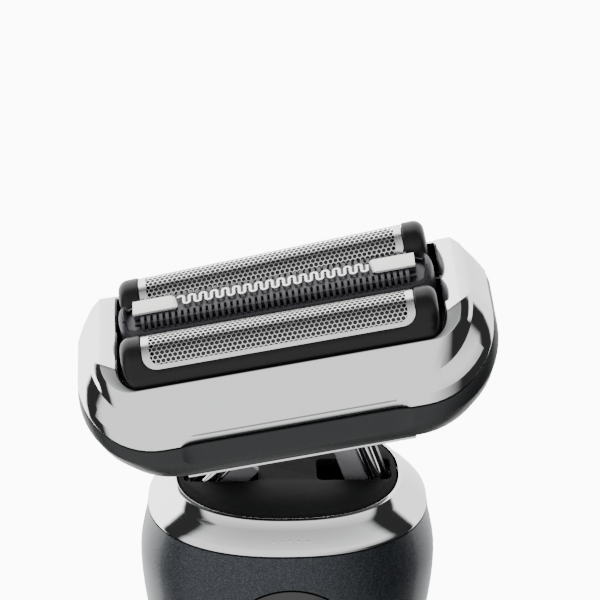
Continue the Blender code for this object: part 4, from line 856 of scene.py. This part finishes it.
def oval(half_x, drop, inset=0.0, count=144):
    """A handle section at a drop below the neck plate's top."""
    turns = [2.0 * math.pi * (step + 0.5) / count for step in range(count)]
    height = HANDLE_HEIGHT - drop
    return [oval_point(turn, half_x - inset, half_x * DEPTH_RATIO - inset, height) for turn in turns]


plate = grow([
    oval(PLATE_HALF, 1.3 * MM),
    oval(PLATE_HALF, 0.25 * MM),
    oval(PLATE_HALF, 0.05 * MM, 0.12 * MM),
    oval(PLATE_HALF, 0.0, 0.4 * MM),
], capped=(True, True))
for side in (-1, 1):
    low_x, high_x = sorted((side * SLOT_INNER, side * SLOT_OUTER))
    slot = block((low_x, -SLOT_HALF, HANDLE_HEIGHT - 3.0 * MM), (high_x, SLOT_HALF, HANDLE_HEIGHT + 1.0 * MM))
    only(slot)
    bpy.ops.object.mode_set(mode="EDIT")
    pick_edges(slot, lambda a, b: abs(a.z - b.z) > 1.0 * MM)
    bpy.ops.mesh.bevel(offset=1.0 * MM, segments=5)
    bpy.ops.object.mode_set(mode="OBJECT")
    drill(plate, slot)
bevel(plate, 0.12 * MM, segments=2, angle=60.0)
install(plate, "neck_disc", "handle", "matt_black", None, ["neck_plate"])

# %% [markdown]
# The collar is a bright ring with a narrow flat lip, a ridge and a wide slanting band. A spun profile
# would be round, so it is a loft of ovals, closed on itself.

# %% The collar
collar = grow([
    oval(17.5 * MM, 1.3 * MM),
    oval(17.5 * MM, 0.2 * MM),
    oval(17.6 * MM, 0.1 * MM),
    oval(18.15 * MM, 0.3 * MM),
    oval(18.4 * MM, 0.75 * MM),
    oval(19.3 * MM, 1.55 * MM),
    oval(20.45 * MM, 2.6 * MM),
    oval(21.4 * MM, 3.65 * MM),
    oval(21.95 * MM, 4.4 * MM),
    oval(22.06 * MM, 4.7 * MM),
    oval(21.2 * MM, 4.7 * MM),
], looped=True)
bevel(collar, 0.1 * MM, segments=2, angle=20.0)
install(collar, "bright_collar", "handle", "chrome", None, ["collar_ring"], angle=40.0)

# %% [markdown]
# On the real collar a mark is embossed at the front. Here it is a row of plain raised ticks, the tall
# one in the middle. Each is a block with its edges rounded away, laid on the band's slope.

# %% The collar's ticks
BAND_TOP = Vector((0.0, -18.4 * DEPTH_RATIO * MM, HANDLE_HEIGHT - 0.75 * MM))
BAND_FOOT = Vector((0.0, -21.95 * DEPTH_RATIO * MM, HANDLE_HEIGHT - 4.4 * MM))
slope = math.atan2(BAND_FOOT.y - BAND_TOP.y, BAND_FOOT.z - BAND_TOP.z)
TICK_STEP = 1.3 * MM
ticks = []
for number in range(-2, 3):
    tall = 0.75 * MM if number == 0 else 0.5 * MM
    tick = block((-0.17 * MM, -0.16 * MM, -tall), (0.17 * MM, 0.1 * MM, tall))
    bevel(tick, 0.1 * MM, segments=3)
    band = BAND_TOP.lerp(BAND_FOOT, 0.56) + Vector((number * TICK_STEP, -0.12 * MM, 0.0))
    ticks.append(settle(tick, Matrix.Translation(band) @ Matrix.Rotation(slope - math.pi, 4, "X")))
ticks = join(*ticks)
install(ticks, "collar_ticks", "handle", "chrome")

# %% [markdown]
# ## Handle
# The handle's width changes along its height: foot, belly, waist, shoulder. Its two shells meet at
# the sides. Each shell has a recess with round ends, for the glossy panel at the front and the ribbed
# grip at the back. A Boolean recess would leave a ragged edge on such a curved skin, so the shell
# grows out of the recess's own outline: the first outlines are the recess wall, the last is the seam.

# %% The handle's skin
LEVELS = (
    (0.0, 16.1 * MM), (1.5 * MM, 17.6 * MM), (40.0 * MM, 19.2 * MM), (78.0 * MM, 18.4 * MM),
    (HANDLE_HEIGHT - 13.0 * MM, 23.3 * MM), (HANDLE_HEIGHT - 4.7 * MM, 22.06 * MM),
)


def half_width(height):
    """Half the handle's width, eased from level to level."""
    for (low, low_width), (high, high_width) in zip(LEVELS, LEVELS[1:]):
        if height <= high:
            return low_width + (high_width - low_width) * eased((height - low) / (high - low))
    return LEVELS[-1][1]


def on_skin(bearing, height, side, sink=0.0):
    """A point of the skin; bearing runs from -90 to 90 degrees across the front or the back."""
    half = half_width(height) - sink
    point = oval_point(math.pi / 2.0 - bearing, half, half_width(height) * DEPTH_RATIO - sink, height)
    return Vector((point.x, side * abs(point.y), height))


def bearing_at(x, height):
    """The bearing at which the skin stands at one place across it."""
    share = min(abs(x) / half_width(height), 1.0)
    return math.copysign(math.asin(share ** (SQUARENESS / 2.0)), x)


def oblong(half_x, bottom, top, side_steps=60, arch_steps=32):
    """A tall outline with round ends, counterclockwise from the lower right, as (x, height)."""
    points = [(half_x, height) for height in spread(bottom + half_x, top - half_x, side_steps)]
    for turn in spread(0.0, math.pi, arch_steps + 2)[1:-1]:
        points.append((half_x * math.cos(turn), top - half_x + half_x * math.sin(turn)))
    points += [(-half_x, height) for height in reversed(spread(bottom + half_x, top - half_x, side_steps))]
    for turn in spread(math.pi, 2.0 * math.pi, arch_steps + 2)[1:-1]:
        points.append((half_x * math.cos(turn), bottom + half_x + half_x * math.sin(turn)))
    return points


def seam_outline(low, high, reach, side_steps=60, arch_steps=32):
    """The shell's border in bearing and height, with the same number of points on each side."""
    points = [(reach, height) for height in spread(low, high, side_steps)]
    points += [(bearing, high) for bearing in spread(reach, -reach, arch_steps + 2)[1:-1]]
    points += [(-reach, height) for height in spread(high, low, side_steps)]
    points += [(bearing, low) for bearing in spread(-reach, reach, arch_steps + 2)[1:-1]]
    return points


print("shoulder (mm):", round(half_width(HANDLE_HEIGHT - 13.0 * MM) / MM, 2))

# %% The two shells
SHELL_LOW = 5.3 * MM
SHELL_HIGH = HANDLE_HEIGHT - 5.0 * MM
RECESS = 0.9 * MM
SEAM_GAP_TURN = 0.004
REACH = math.pi / 2.0 - SEAM_GAP_TURN
SEAM_EDGE = 0.25 * MM
SEAM_LIP = 0.4 * MM
CASING_WALL = 1.6 * MM
SHELL_STEPS = 16
PANEL_HALF = 10.6 * MM
GRIP_HALF = 12.0 * MM
panel_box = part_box("front_panel")
grip_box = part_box("rear_grip")


def casing(half_x, bottom, top, side):
    """A half shell that grows from its recess to its seam, where its edge slants under the other half."""
    hole = [(bearing_at(x, height), height) for x, height in oblong(half_x, bottom, top)]
    seam = seam_outline(SHELL_LOW, SHELL_HIGH, REACH)
    outlines = [[on_skin(bearing, height, side, sink) for bearing, height in hole]
                for sink in (RECESS, 0.12 * MM, 0.03 * MM)]
    for step in range(SHELL_STEPS + 1):
        share = 0.02 + 0.98 * step / SHELL_STEPS
        ring = [(near[0] + (far[0] - near[0]) * share, near[1] + (far[1] - near[1]) * share)
                for near, far in zip(hole, seam)]
        outlines.append([on_skin(bearing, height, side) for bearing, height in ring])
    outlines.append([on_skin(bearing, height, side, SEAM_EDGE) for bearing, height in seam])
    lip = Vector((0.0, -side * SEAM_LIP, 0.0))
    outlines.append([on_skin(bearing, height, side, CASING_WALL) + lip for bearing, height in seam])
    return grow(outlines)


def inlay(half_x, bottom, top, side):
    """The plate that fills a recess, closed in the middle and turned in at its edge."""
    outlines = []
    for step in range(9):
        half = max(half_x * (1.0 - step / 8.0), 0.0)
        shrink = half_x - half
        ring = oblong(half, bottom + shrink, top - shrink)
        outlines.append([on_skin(bearing_at(x, height), height, side) for x, height in ring])
    edge = oblong(half_x, bottom, top)
    rim = [[on_skin(bearing_at(x, height), height, side, sink) for x, height in edge]
           for sink in (RECESS, 0.2 * MM)]
    first = oblong(half_x - 0.12 * MM, bottom + 0.12 * MM, top - 0.12 * MM)
    outlines[0] = [on_skin(bearing_at(x, height), height, side, 0.02 * MM) for x, height in first]
    return grow(rim + outlines)


front_shell = casing(PANEL_HALF + 0.18 * MM, panel_box[0].z - 0.18 * MM, panel_box[1].z + 0.18 * MM, -1)
install(front_shell, "front_casing", "handle", "satin_shell", None, ["front_shell"])
rear_shell = casing(GRIP_HALF + 0.18 * MM, grip_box[0].z - 0.18 * MM, grip_box[1].z + 0.18 * MM, 1)
install(rear_shell, "rear_casing", "handle", "satin_shell", None, ["rear_shell"])

# %% [markdown]
# The glossy panel fills the front recess. It gets a round hole for the button and an oblong one for
# the display, both drilled, and a well round the button so that a finger finds it.

# %% The panel, its button and its display
BUTTON_RADIUS = 6.5 * MM
button_low, button_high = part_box("power_button")
button_height = (button_low.z + button_high.z) / 2.0
lens_low, lens_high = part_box("display_lens")
panel = inlay(PANEL_HALF, panel_box[0].z, panel_box[1].z, -1)
modify(panel, "SOLIDIFY", thickness=0.6 * MM, offset=-1.0)
drill(panel, bar((0.0, button_height), "y", BUTTON_RADIUS + 0.3 * MM, -30.0 * MM, 0.0, sides=72))
window = block((lens_low.x - 0.3 * MM, -30.0 * MM, lens_low.z - 0.3 * MM),
               (lens_high.x + 0.3 * MM, 0.0, lens_high.z + 0.3 * MM))
only(window)
bpy.ops.object.mode_set(mode="EDIT")
pick_edges(window, lambda a, b: abs(a.y - b.y) > 1.0 * MM)
bpy.ops.mesh.bevel(offset=1.2 * MM, segments=5)
bpy.ops.object.mode_set(mode="OBJECT")
drill(panel, window)
install(panel, "gloss_panel", "handle", "gloss_black", None, ["front_panel"])


def disc_rings(profile, count=72):
    """A turned piece about the button's axis, from (radius, y) pairs."""
    rings = []
    for radius, depth in profile:
        turns = [2.0 * math.pi * step / count for step in range(count)]
        rings.append([Vector((radius * math.cos(turn), depth, button_height + radius * math.sin(turn)))
                      for turn in turns])
    return rings


face = button_low.y
power = grow(disc_rings([
    (6.5 * MM, face + 2.6 * MM), (6.5 * MM, face + 0.9 * MM), (6.35 * MM, face + 0.6 * MM),
    (5.9 * MM, face + 0.35 * MM), (5.4 * MM, face + 0.3 * MM), (5.2 * MM, face + 0.5 * MM),
    (4.9 * MM, face + 0.55 * MM), (4.6 * MM, face + 0.32 * MM), (3.6 * MM, face + 0.12 * MM),
    (2.0 * MM, face + 0.02 * MM), (0.4 * MM, face),
]), capped=(True, True))
install(power, "power_cap", "power_button", "chrome", None, ["power_button"], angle=40.0)

columns, rows = 12, 20
clear()
bpy.ops.mesh.primitive_grid_add(x_subdivisions=columns, y_subdivisions=rows, size=2.0)
lens = bpy.context.object
for vert in lens.data.vertices:
    reach = 1.0 if abs(vert.co.y) < 0.95 else 0.86
    x = vert.co.x * reach * (lens_high.x - lens_low.x) / 2.0
    height = (lens_low.z + lens_high.z) / 2.0 + vert.co.y * (lens_high.z - lens_low.z) / 2.0
    vert.co = on_skin(bearing_at(x, height), height, -1, 0.02 * MM)
modify(lens, "SOLIDIFY", thickness=0.6 * MM, offset=1.0)
bevel(lens, 0.12 * MM, segments=2, angle=60.0)
install(lens, "display_window", "handle", "lens", None, ["display_lens"])

# %% [markdown]
# The grip at the back is soft rubber with cross ribs. A grid gives it an even mesh: its points are
# laid on the skin, narrowed to the round ends, and sunk a little between the ribs.

# %% The ribbed grip
RIB_PITCH = 3.2 * MM
RIB_DEPTH = 0.45 * MM
GRIP_ROWS = 260
GRIP_COLUMNS = 28
grip_bottom, grip_top = grip_box[0].z, grip_box[1].z


def grip_reach(height):
    """Half the grip's width at one height, with a round arch at both ends."""
    past = max(grip_bottom + GRIP_HALF - height, height - grip_top + GRIP_HALF, 0.0)
    return math.sqrt(max(GRIP_HALF ** 2 - past ** 2, (0.9 * MM) ** 2))


clear()
bpy.ops.mesh.primitive_grid_add(x_subdivisions=GRIP_COLUMNS, y_subdivisions=GRIP_ROWS, size=2.0)
grip = bpy.context.object
for vert in grip.data.vertices:
    height = grip_bottom + (grip_top - grip_bottom) * (vert.co.y + 1.0) / 2.0
    x = vert.co.x * grip_reach(height)
    middle = eased((GRIP_HALF - 1.2 * MM - math.hypot(x, max(abs(height - (grip_bottom + grip_top) / 2.0)
                   - (grip_top - grip_bottom) / 2.0 + GRIP_HALF, 0.0))) / (1.2 * MM))
    groove = 0.5 - 0.5 * math.cos(2.0 * math.pi * height / RIB_PITCH)
    vert.co = on_skin(bearing_at(x, height), height, 1, RIB_DEPTH * middle * groove ** 0.7 + 0.02 * MM)
only(grip)
bpy.ops.object.mode_set(mode="EDIT")
bpy.ops.mesh.select_all(action="SELECT")
if pick_faces(grip, lambda middle, normal: normal.y < 0.0) > GRIP_ROWS * GRIP_COLUMNS / 2:
    bpy.ops.mesh.select_all(action="SELECT")
    bpy.ops.mesh.flip_normals()
bpy.ops.object.mode_set(mode="OBJECT")
modify(grip, "SOLIDIFY", thickness=0.5 * MM, offset=-1.0)
install(grip, "ribbed_grip", "handle", "rubber", None, ["rear_grip"], angle=50.0)

# %% [markdown]
# The foot cap closes the handle. It is a low loft with a rounded lower edge; the socket's opening and
# the two screw seats are drilled. The screws get a cross slot, drilled too.

# %% The foot cap and its screws
def foot_ring(height, inset=0.0):
    half = half_width(height)
    turns = [2.0 * math.pi * (step + 0.5) / 144 for step in range(144)]
    return [oval_point(turn, half - inset, half * DEPTH_RATIO - inset, height) for turn in turns]


foot = grow([foot_ring(0.0)] + [foot_ring(height * MM) for height in (0.2, 0.45, 0.8, 1.15, 1.5, 3.4, 4.8)]
            + [foot_ring(5.0 * MM, 0.2 * MM), foot_ring(5.0 * MM, 1.6 * MM)], capped=(True, True))
socket_low, socket_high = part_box("charging_socket")
drill(foot, block((socket_low.x - 0.2 * MM, socket_low.y - 0.2 * MM, -2.0 * MM),
                  (socket_high.x + 0.2 * MM, socket_high.y + 0.2 * MM, 4.0 * MM)))
for name in ("left", "right"):
    low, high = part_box("foot_screw_" + name)
    middle = (low + high) / 2.0
    drill(foot, bar((middle.x, middle.y), "z", 1.65 * MM, -2.0 * MM, 1.0 * MM, sides=40))
    screw = bar((middle.x, middle.y), "z", 1.5 * MM, low.z, low.z + 0.7 * MM, sides=40)
    bevel(screw, 0.15 * MM)
    for half_x, half_y in ((0.9 * MM, 0.18 * MM), (0.18 * MM, 0.9 * MM)):
        drill(screw, block((middle.x - half_x, middle.y - half_y, -1.0 * MM),
                           (middle.x + half_x, middle.y + half_y, low.z + 0.35 * MM)))
    shank = bar((middle.x, middle.y), "z", 0.8 * MM, low.z + 0.6 * MM, high.z, sides=24)
    join(screw, shank)
    install(screw, "foot_fastener_" + name, "handle", "steel", None, ["foot_screw_" + name])
bevel(foot, 0.1 * MM, segments=2, angle=50.0)
install(foot, "foot_cover", "handle", "satin_black", None, ["foot_cap"])

# %% [markdown]
# ## Shader maths in plain Python
# A finish is a small program: coordinates go in, colours and roughness come out. Two classes keep it
# readable. A Wire is a number on its way from one node to the next, and knows how to be added and
# multiplied. A Finish owns one material and makes every other node through a single method.

# %% Wires and finishes
class Wire:
    """A number carried by a socket; arithmetic on it adds Math nodes."""

    def __init__(self, finish, socket):
        self.finish = finish
        self.socket = socket

    def maths(self, operation, *numbers):
        sockets = dict(enumerate(numbers))
        return self.finish.node("ShaderNodeMath", {"operation": operation}, sockets)

    def __add__(self, other):
        return self.maths("ADD", self, other)

    __radd__ = __add__

    def __sub__(self, other):
        return self.maths("SUBTRACT", self, other)

    def __rsub__(self, other):
        return self.maths("SUBTRACT", other, self)

    def __mul__(self, other):
        return self.maths("MULTIPLY", self, other)

    __rmul__ = __mul__

    def __pow__(self, other):
        return self.maths("POWER", self, other)

    def clamped(self):
        return self.maths("MINIMUM", self.maths("MAXIMUM", self, 0.0), 1.0)


class Finish:
    """One material under construction, around its Principled shader."""

    def __init__(self, name, **constants):
        self.material = bpy.data.materials.new(name)
        self.material.use_nodes = True
        self.tree = self.material.node_tree
        self.shader = self.tree.nodes["Principled BSDF"]
        for socket, value in constants.items():
            self.shader.inputs[socket.replace("_", " ")].default_value = value

    def node(self, kind, settings=None, sockets=None, output=0):
        """Adds a node: settings first, then a value or a wire for each socket; returns one output."""
        made = self.tree.nodes.new(kind)
        for name, value in (settings or {}).items():
            setattr(made, name, value)
        for key, value in (sockets or {}).items():
            if isinstance(value, Wire):
                self.tree.links.new(value.socket, made.inputs[key])
            else:
                made.inputs[key].default_value = value
        return Wire(self, made.outputs[output])

    def feed(self, socket, wire):
        """Links a wire into the shader."""
        self.tree.links.new(wire.socket, self.shader.inputs[socket])

    def place(self, stretch=(1.0, 1.0, 1.0)):
        """Object coordinates, stretched for a pattern."""
        spot = self.node("ShaderNodeTexCoord", output="Object")
        return self.node("ShaderNodeMapping", None, {"Vector": spot, "Scale": stretch})

    def noise(self, size, spot=None, detail=2.0):
        """Cloudy noise from 0 to 1, with clouds of about one size."""
        return self.node("ShaderNodeTexNoise", None, {"Vector": spot or self.place(), "Scale": 1.0 / size,
                                                      "Detail": detail})

    def grains(self, size, spot=None):
        """Grains of about one size, each with its own random number."""
        sockets = {"Vector": spot or self.place(), "Scale": 1.0 / size}
        colour = self.node("ShaderNodeTexVoronoi", None, sockets, "Color")
        return self.node("ShaderNodeSeparateColor", None, {"Color": colour})

    def mix(self, share, first, second):
        """A colour between two others."""
        return self.node("ShaderNodeMix", {"data_type": "RGBA"},
                         {0: share, 6: (*first, 1.0), 7: (*second, 1.0)}, 2)

    def relief(self, height, depth):
        """Turns a height into a bump of a depth in metres."""
        bump = self.node("ShaderNodeBump", None, {"Height": height, "Distance": depth, "Strength": 1.0})
        self.feed("Normal", bump)


finishes = {}
print("classes: Wire, Finish")

# %% [markdown]
# ## Bright metals
# Plating is a mirror, but no mirror is perfect: a moulded part under the plating is very slightly
# wavy, and it has been handled. A faint bump and a cloudy roughness give both. The foil and the
# cutting parts are steel, duller, with lines left by rolling and grinding along their length. The
# cutting parts are coloured near black as painted shade, for the shade under the foil.

# %% Plating and steel
def plating():
    finish = Finish("chrome", Metallic=1.0)
    clouds = finish.noise(9.0 * MM)
    finish.feed("Roughness", clouds * 0.05 + 0.03)
    finish.feed("Base Color", finish.mix(clouds, (0.86, 0.87, 0.885), (0.91, 0.915, 0.925)))
    finish.relief(finish.noise(14.0 * MM, detail=0.0), 0.012 * MM)
    return finish


def rolled_steel(name, dark, bright, low, high, stretch, depth):
    """Steel with fine lines across its stretched direction."""
    finish = Finish(name, Metallic=1.0)
    lines = finish.noise(0.25 * MM, finish.place(stretch))
    clouds = finish.noise(4.0 * MM)
    finish.feed("Roughness", (lines * 0.6 + clouds * 0.4) * (high - low) + low)
    finish.feed("Base Color", finish.mix(lines, dark, bright))
    finish.relief(lines, depth)
    return finish


finishes["chrome"] = plating()
finishes["foil_steel"] = rolled_steel("foil_steel", (0.80, 0.80, 0.79), (0.93, 0.93, 0.92), 0.16, 0.34,
                                      (0.08, 1.0, 1.0), 0.002 * MM)
# The cutters' near-black colour is painted shade: it stands in for the shade under the foil, where they are seen
# dark through the holes.
finishes["cutter_steel"] = rolled_steel("cutter_steel", (0.03, 0.03, 0.032), (0.09, 0.09, 0.095), 0.40, 0.55,
                                        (0.1, 1.0, 1.0), 0.004 * MM)
finishes["steel"] = rolled_steel("steel", (0.50, 0.50, 0.52), (0.66, 0.66, 0.68), 0.22, 0.4,
                                 (1.0, 1.0, 0.1), 0.003 * MM)
finishes["copper"] = rolled_steel("copper", (0.55, 0.24, 0.12), (0.80, 0.42, 0.26), 0.25, 0.4,
                                  (1.0, 0.2, 1.0), 0.01 * MM)
print("metals:", sorted(finishes))

# %% [markdown]
# ## Painted and moulded surfaces
# The handle's paint holds metal flakes: seen close, some grains flash and others stay dark, under a
# clear coat. The head's base is a darker, duller paint. Mouldings have the grain of their mould, a fine
# one on the plate and the cartridges, none on the glossy panel, which only shows faint polishing.

# %% Paint, plastics and rubber
def flake_paint(name, deep, light, metallic, rough, grain):
    """A paint whose flakes differ in brightness and in tilt."""
    finish = Finish(name, Coat_Roughness=0.12)
    flakes = finish.grains(grain)
    clouds = finish.noise(18.0 * MM)
    finish.feed("Metallic", flakes * 0.25 + metallic)
    finish.feed("Roughness", flakes * 0.12 + clouds * 0.06 + rough)
    finish.feed("Base Color", finish.mix(flakes ** 2.0, deep, light))
    finish.feed("Coat Weight", clouds * 0.1 + 0.12)
    finish.relief(flakes, grain * 0.035)
    return finish


def moulding(name, dark, light, low, high, grain, depth, **constants):
    """A plastic with a moulded grain and a cloudy sheen."""
    finish = Finish(name, **constants)
    fine = finish.noise(grain)
    clouds = finish.noise(12.0 * MM)
    finish.feed("Roughness", (fine * 0.5 + clouds * 0.5) * (high - low) + low)
    finish.feed("Base Color", finish.mix(fine, dark, light))
    finish.relief(fine, depth)
    return finish


finishes["satin_shell"] = flake_paint("satin_shell", (0.010, 0.012, 0.015), (0.075, 0.085, 0.10), 0.45, 0.34,
                                      0.11 * MM)
finishes["head_grey"] = flake_paint("head_grey", (0.012, 0.013, 0.014), (0.030, 0.032, 0.034), 0.30, 0.36,
                                    0.08 * MM)
finishes["matt_black"] = moulding("matt_black", (0.003, 0.003, 0.0032), (0.008, 0.008, 0.0085), 0.66, 0.88,
                                  0.16 * MM, 0.01 * MM, Specular_IOR_Level=0.2)
finishes["gloss_black"] = moulding("gloss_black", (0.001, 0.001, 0.0012), (0.002, 0.002, 0.0023),
                                   0.035, 0.085, 3.0 * MM, 0.0006 * MM,
                                   Coat_Weight=0.6, Coat_Roughness=0.03)
finishes["satin_black"] = moulding("satin_black", (0.003, 0.003, 0.0033), (0.006, 0.006, 0.0065), 0.28, 0.42,
                                   0.12 * MM, 0.004 * MM, Specular_IOR_Level=0.3)
finishes["trimmer_grey"] = moulding("trimmer_grey", (0.014, 0.013, 0.018), (0.024, 0.022, 0.029), 0.34, 0.5,
                                    0.12 * MM, 0.004 * MM)
finishes["white_metal"] = moulding("white_metal", (0.72, 0.72, 0.70), (0.80, 0.80, 0.78), 0.28, 0.42,
                                   0.3 * MM, 0.003 * MM, Metallic=0.35)
finishes["inner_plastic"] = moulding("inner_plastic", (0.30, 0.30, 0.32), (0.38, 0.38, 0.40), 0.34, 0.5,
                                     0.2 * MM, 0.004 * MM, Metallic=0.4)
finishes["rubber"] = moulding("rubber", (0.012, 0.012, 0.013), (0.028, 0.028, 0.030), 0.7, 0.92,
                              0.22 * MM, 0.02 * MM)
finishes["board_green"] = moulding("board_green", (0.015, 0.11, 0.045), (0.03, 0.19, 0.08), 0.3, 0.5,
                                   1.4 * MM, 0.01 * MM)
finishes["cell_wrap"] = moulding("cell_wrap", (0.05, 0.13, 0.30), (0.08, 0.19, 0.40), 0.25, 0.4,
                                 2.5 * MM, 0.01 * MM)
finishes["lens"] = moulding("lens", (0.010, 0.011, 0.014), (0.016, 0.018, 0.022), 0.04, 0.09,
                            4.0 * MM, 0.0005 * MM, Coat_Weight=0.8, Coat_Roughness=0.02)
print("finishes:", len(finishes))

# %% [markdown]
# Every piece takes the finish of its slot: the new pieces the slot they were installed with, and each
# piece of the frame that stays the slot that the record names for it.

# %% Handing out the finishes
def coat(piece, slot):
    piece.data.materials.clear()
    piece.data.materials.append(finishes[slot].material)


for piece, slot in hand_over:
    coat(piece, slot)
for row in frame["record"]["subparts"]:
    coat(frame["nodes"][row["node"]], row["material_slot"])
print("coated:", len(hand_over), "new pieces and", len(frame["nodes"]), "nodes")

# %% [markdown]
# ## Studio
# The floor is pale and glows, so it reads as an even white background. The glow would bleach the
# undersides and fill the mirror parts, so neither diffuse nor glossy surfaces see the floor. Three soft
# lights at the left, the right and above light the matt parts, and the mirror parts don't show them.

# %% Floor
FLOOR_SIZE = 6.0
FLOOR_GLOW = 9.0
clear()
bpy.ops.mesh.primitive_plane_add(size=FLOOR_SIZE)
floor = bpy.context.object
floor.name = "floor"
floor_finish = Finish("floor_paper", Roughness=0.9, Emission_Strength=FLOOR_GLOW)
paper = floor_finish.noise(0.02)
floor_finish.feed("Base Color", floor_finish.mix(paper, (0.90, 0.90, 0.90), (0.93, 0.93, 0.93)))
floor_finish.feed("Emission Color", floor_finish.mix(paper, (0.97, 0.97, 0.97), (1.0, 1.0, 1.0)))
floor.data.materials.append(floor_finish.material)
floor.visible_diffuse = False
floor.visible_glossy = False

# %% Lights
def panel_light(name, location, target, size_x, size_y, power):
    """A soft rectangular light that faces a target."""
    clear()
    bpy.ops.object.light_add(type="AREA", location=location)
    light = bpy.context.object
    light.name = name
    light.data.shape = "RECTANGLE"
    light.data.size = size_x
    light.data.size_y = size_y
    light.data.energy = power
    light.rotation_euler = (Vector(target) - Vector(location)).to_track_quat("-Z", "Y").to_euler()
    light.visible_glossy = False
    return light


HEAD_SPOT = tuple(HEAD.translation)
panel_light("key_panel", (-0.9, -0.1, 0.75), HEAD_SPOT, 0.7, 0.5, 9.0)
panel_light("right_panel", (0.95, 0.25, 0.35), HEAD_SPOT, 0.3, 0.9, 5.0)
panel_light("top_panel", (0.05, 0.5, 0.95), HEAD_SPOT, 1.1, 0.45, 9.0)

# %% [markdown]
# Bright metal shows the room and not itself, so the room is built for its reflections. It is a world
# shader with two bright walls, one behind the viewer and a brighter one beyond the shaver. Between
# them is a dark gap at each side, which gives the head's ends their black streaks. Low at the right
# the front wall fades to black as well, for the collar. Each ramp below is one edge in the room.

# %% The room
ROOM_DARK = 0.03
world = bpy.data.worlds.new("studio")
bpy.context.scene.world = world
world.use_nodes = True
sky_tree = world.node_tree


class Sky(Finish):
    """The same node helper, for the world."""

    def __init__(self):
        self.tree = sky_tree
        self.shader = sky_tree.nodes["Background"]
        self.shader.inputs["Color"].default_value = (1.0, 1.0, 1.0, 1.0)


sky = Sky()
heading = sky.node("ShaderNodeTexCoord", output="Generated")
sky_x = sky.node("ShaderNodeSeparateXYZ", None, {"Vector": heading}, "X")
sky_y = sky.node("ShaderNodeSeparateXYZ", None, {"Vector": heading}, "Y")
sky_z = sky.node("ShaderNodeSeparateXYZ", None, {"Vector": heading}, "Z")


def ramp(wire, start, end):
    """0 before the start, 1 after the end, straight between."""
    return ((wire - start) * (1.0 / (end - start))).clamped()


low = ramp(sky_z, 0.45, 0.2)
front_wall = ramp(sky_y, 0.05, -0.30) * (ramp(sky_z, 0.95, 0.50) * 0.9 + 0.35)
back_wall = ramp(sky_y, 0.22, 0.34) * (ramp(sky_x, 0.6, -0.4) * 1.6 + 1.8)
side_band = ramp(sky_y, -0.22, -0.10) * ramp(sky_y, 0.32, 0.24)
left_gap = ramp(sky_x, -0.55, -0.72) * side_band
right_gap = ramp(sky_x, 0.55, 0.72) * side_band
low_gap = low * ramp(sky_x, 0.12, 0.75) * ramp(sky_y, 0.10, 0.04)
open_share = (1.0 - left_gap) * (1.0 - right_gap) * (1.0 - low_gap)
sky.feed("Strength", (front_wall + back_wall) * open_share + ROOM_DARK)
print("lights set")

# %% [markdown]
# The camera looks down on the head from the front, from half a metre, through a long lens. It first
# aims at the neck plate and is then tilted up and panned, so that the head fills the frame.

# %% Camera
ELEVATION = math.radians(29.65)
SWING = math.radians(-1.56)
DISTANCE = 0.5
TILT = math.radians(3.07)
PAN = math.radians(-0.23)
back = Vector((math.sin(SWING) * math.cos(ELEVATION), -math.cos(SWING) * math.cos(ELEVATION),
               math.sin(ELEVATION)))
right = Vector((math.cos(SWING), math.sin(SWING), 0.0))
aim = Matrix((right, back.cross(right), back)).transposed().to_4x4()
aim = aim @ Matrix.Rotation(PAN, 4, "Y") @ Matrix.Rotation(TILT, 4, "X")
clear()
bpy.ops.object.camera_add()
camera = bpy.context.object
camera.data.lens = 189.9
camera.data.sensor_width = 36.0
camera.matrix_world = Matrix.Translation(Vector((0.0, 0.0, HANDLE_HEIGHT)) + back * DISTANCE) @ aim
bpy.context.scene.camera = camera
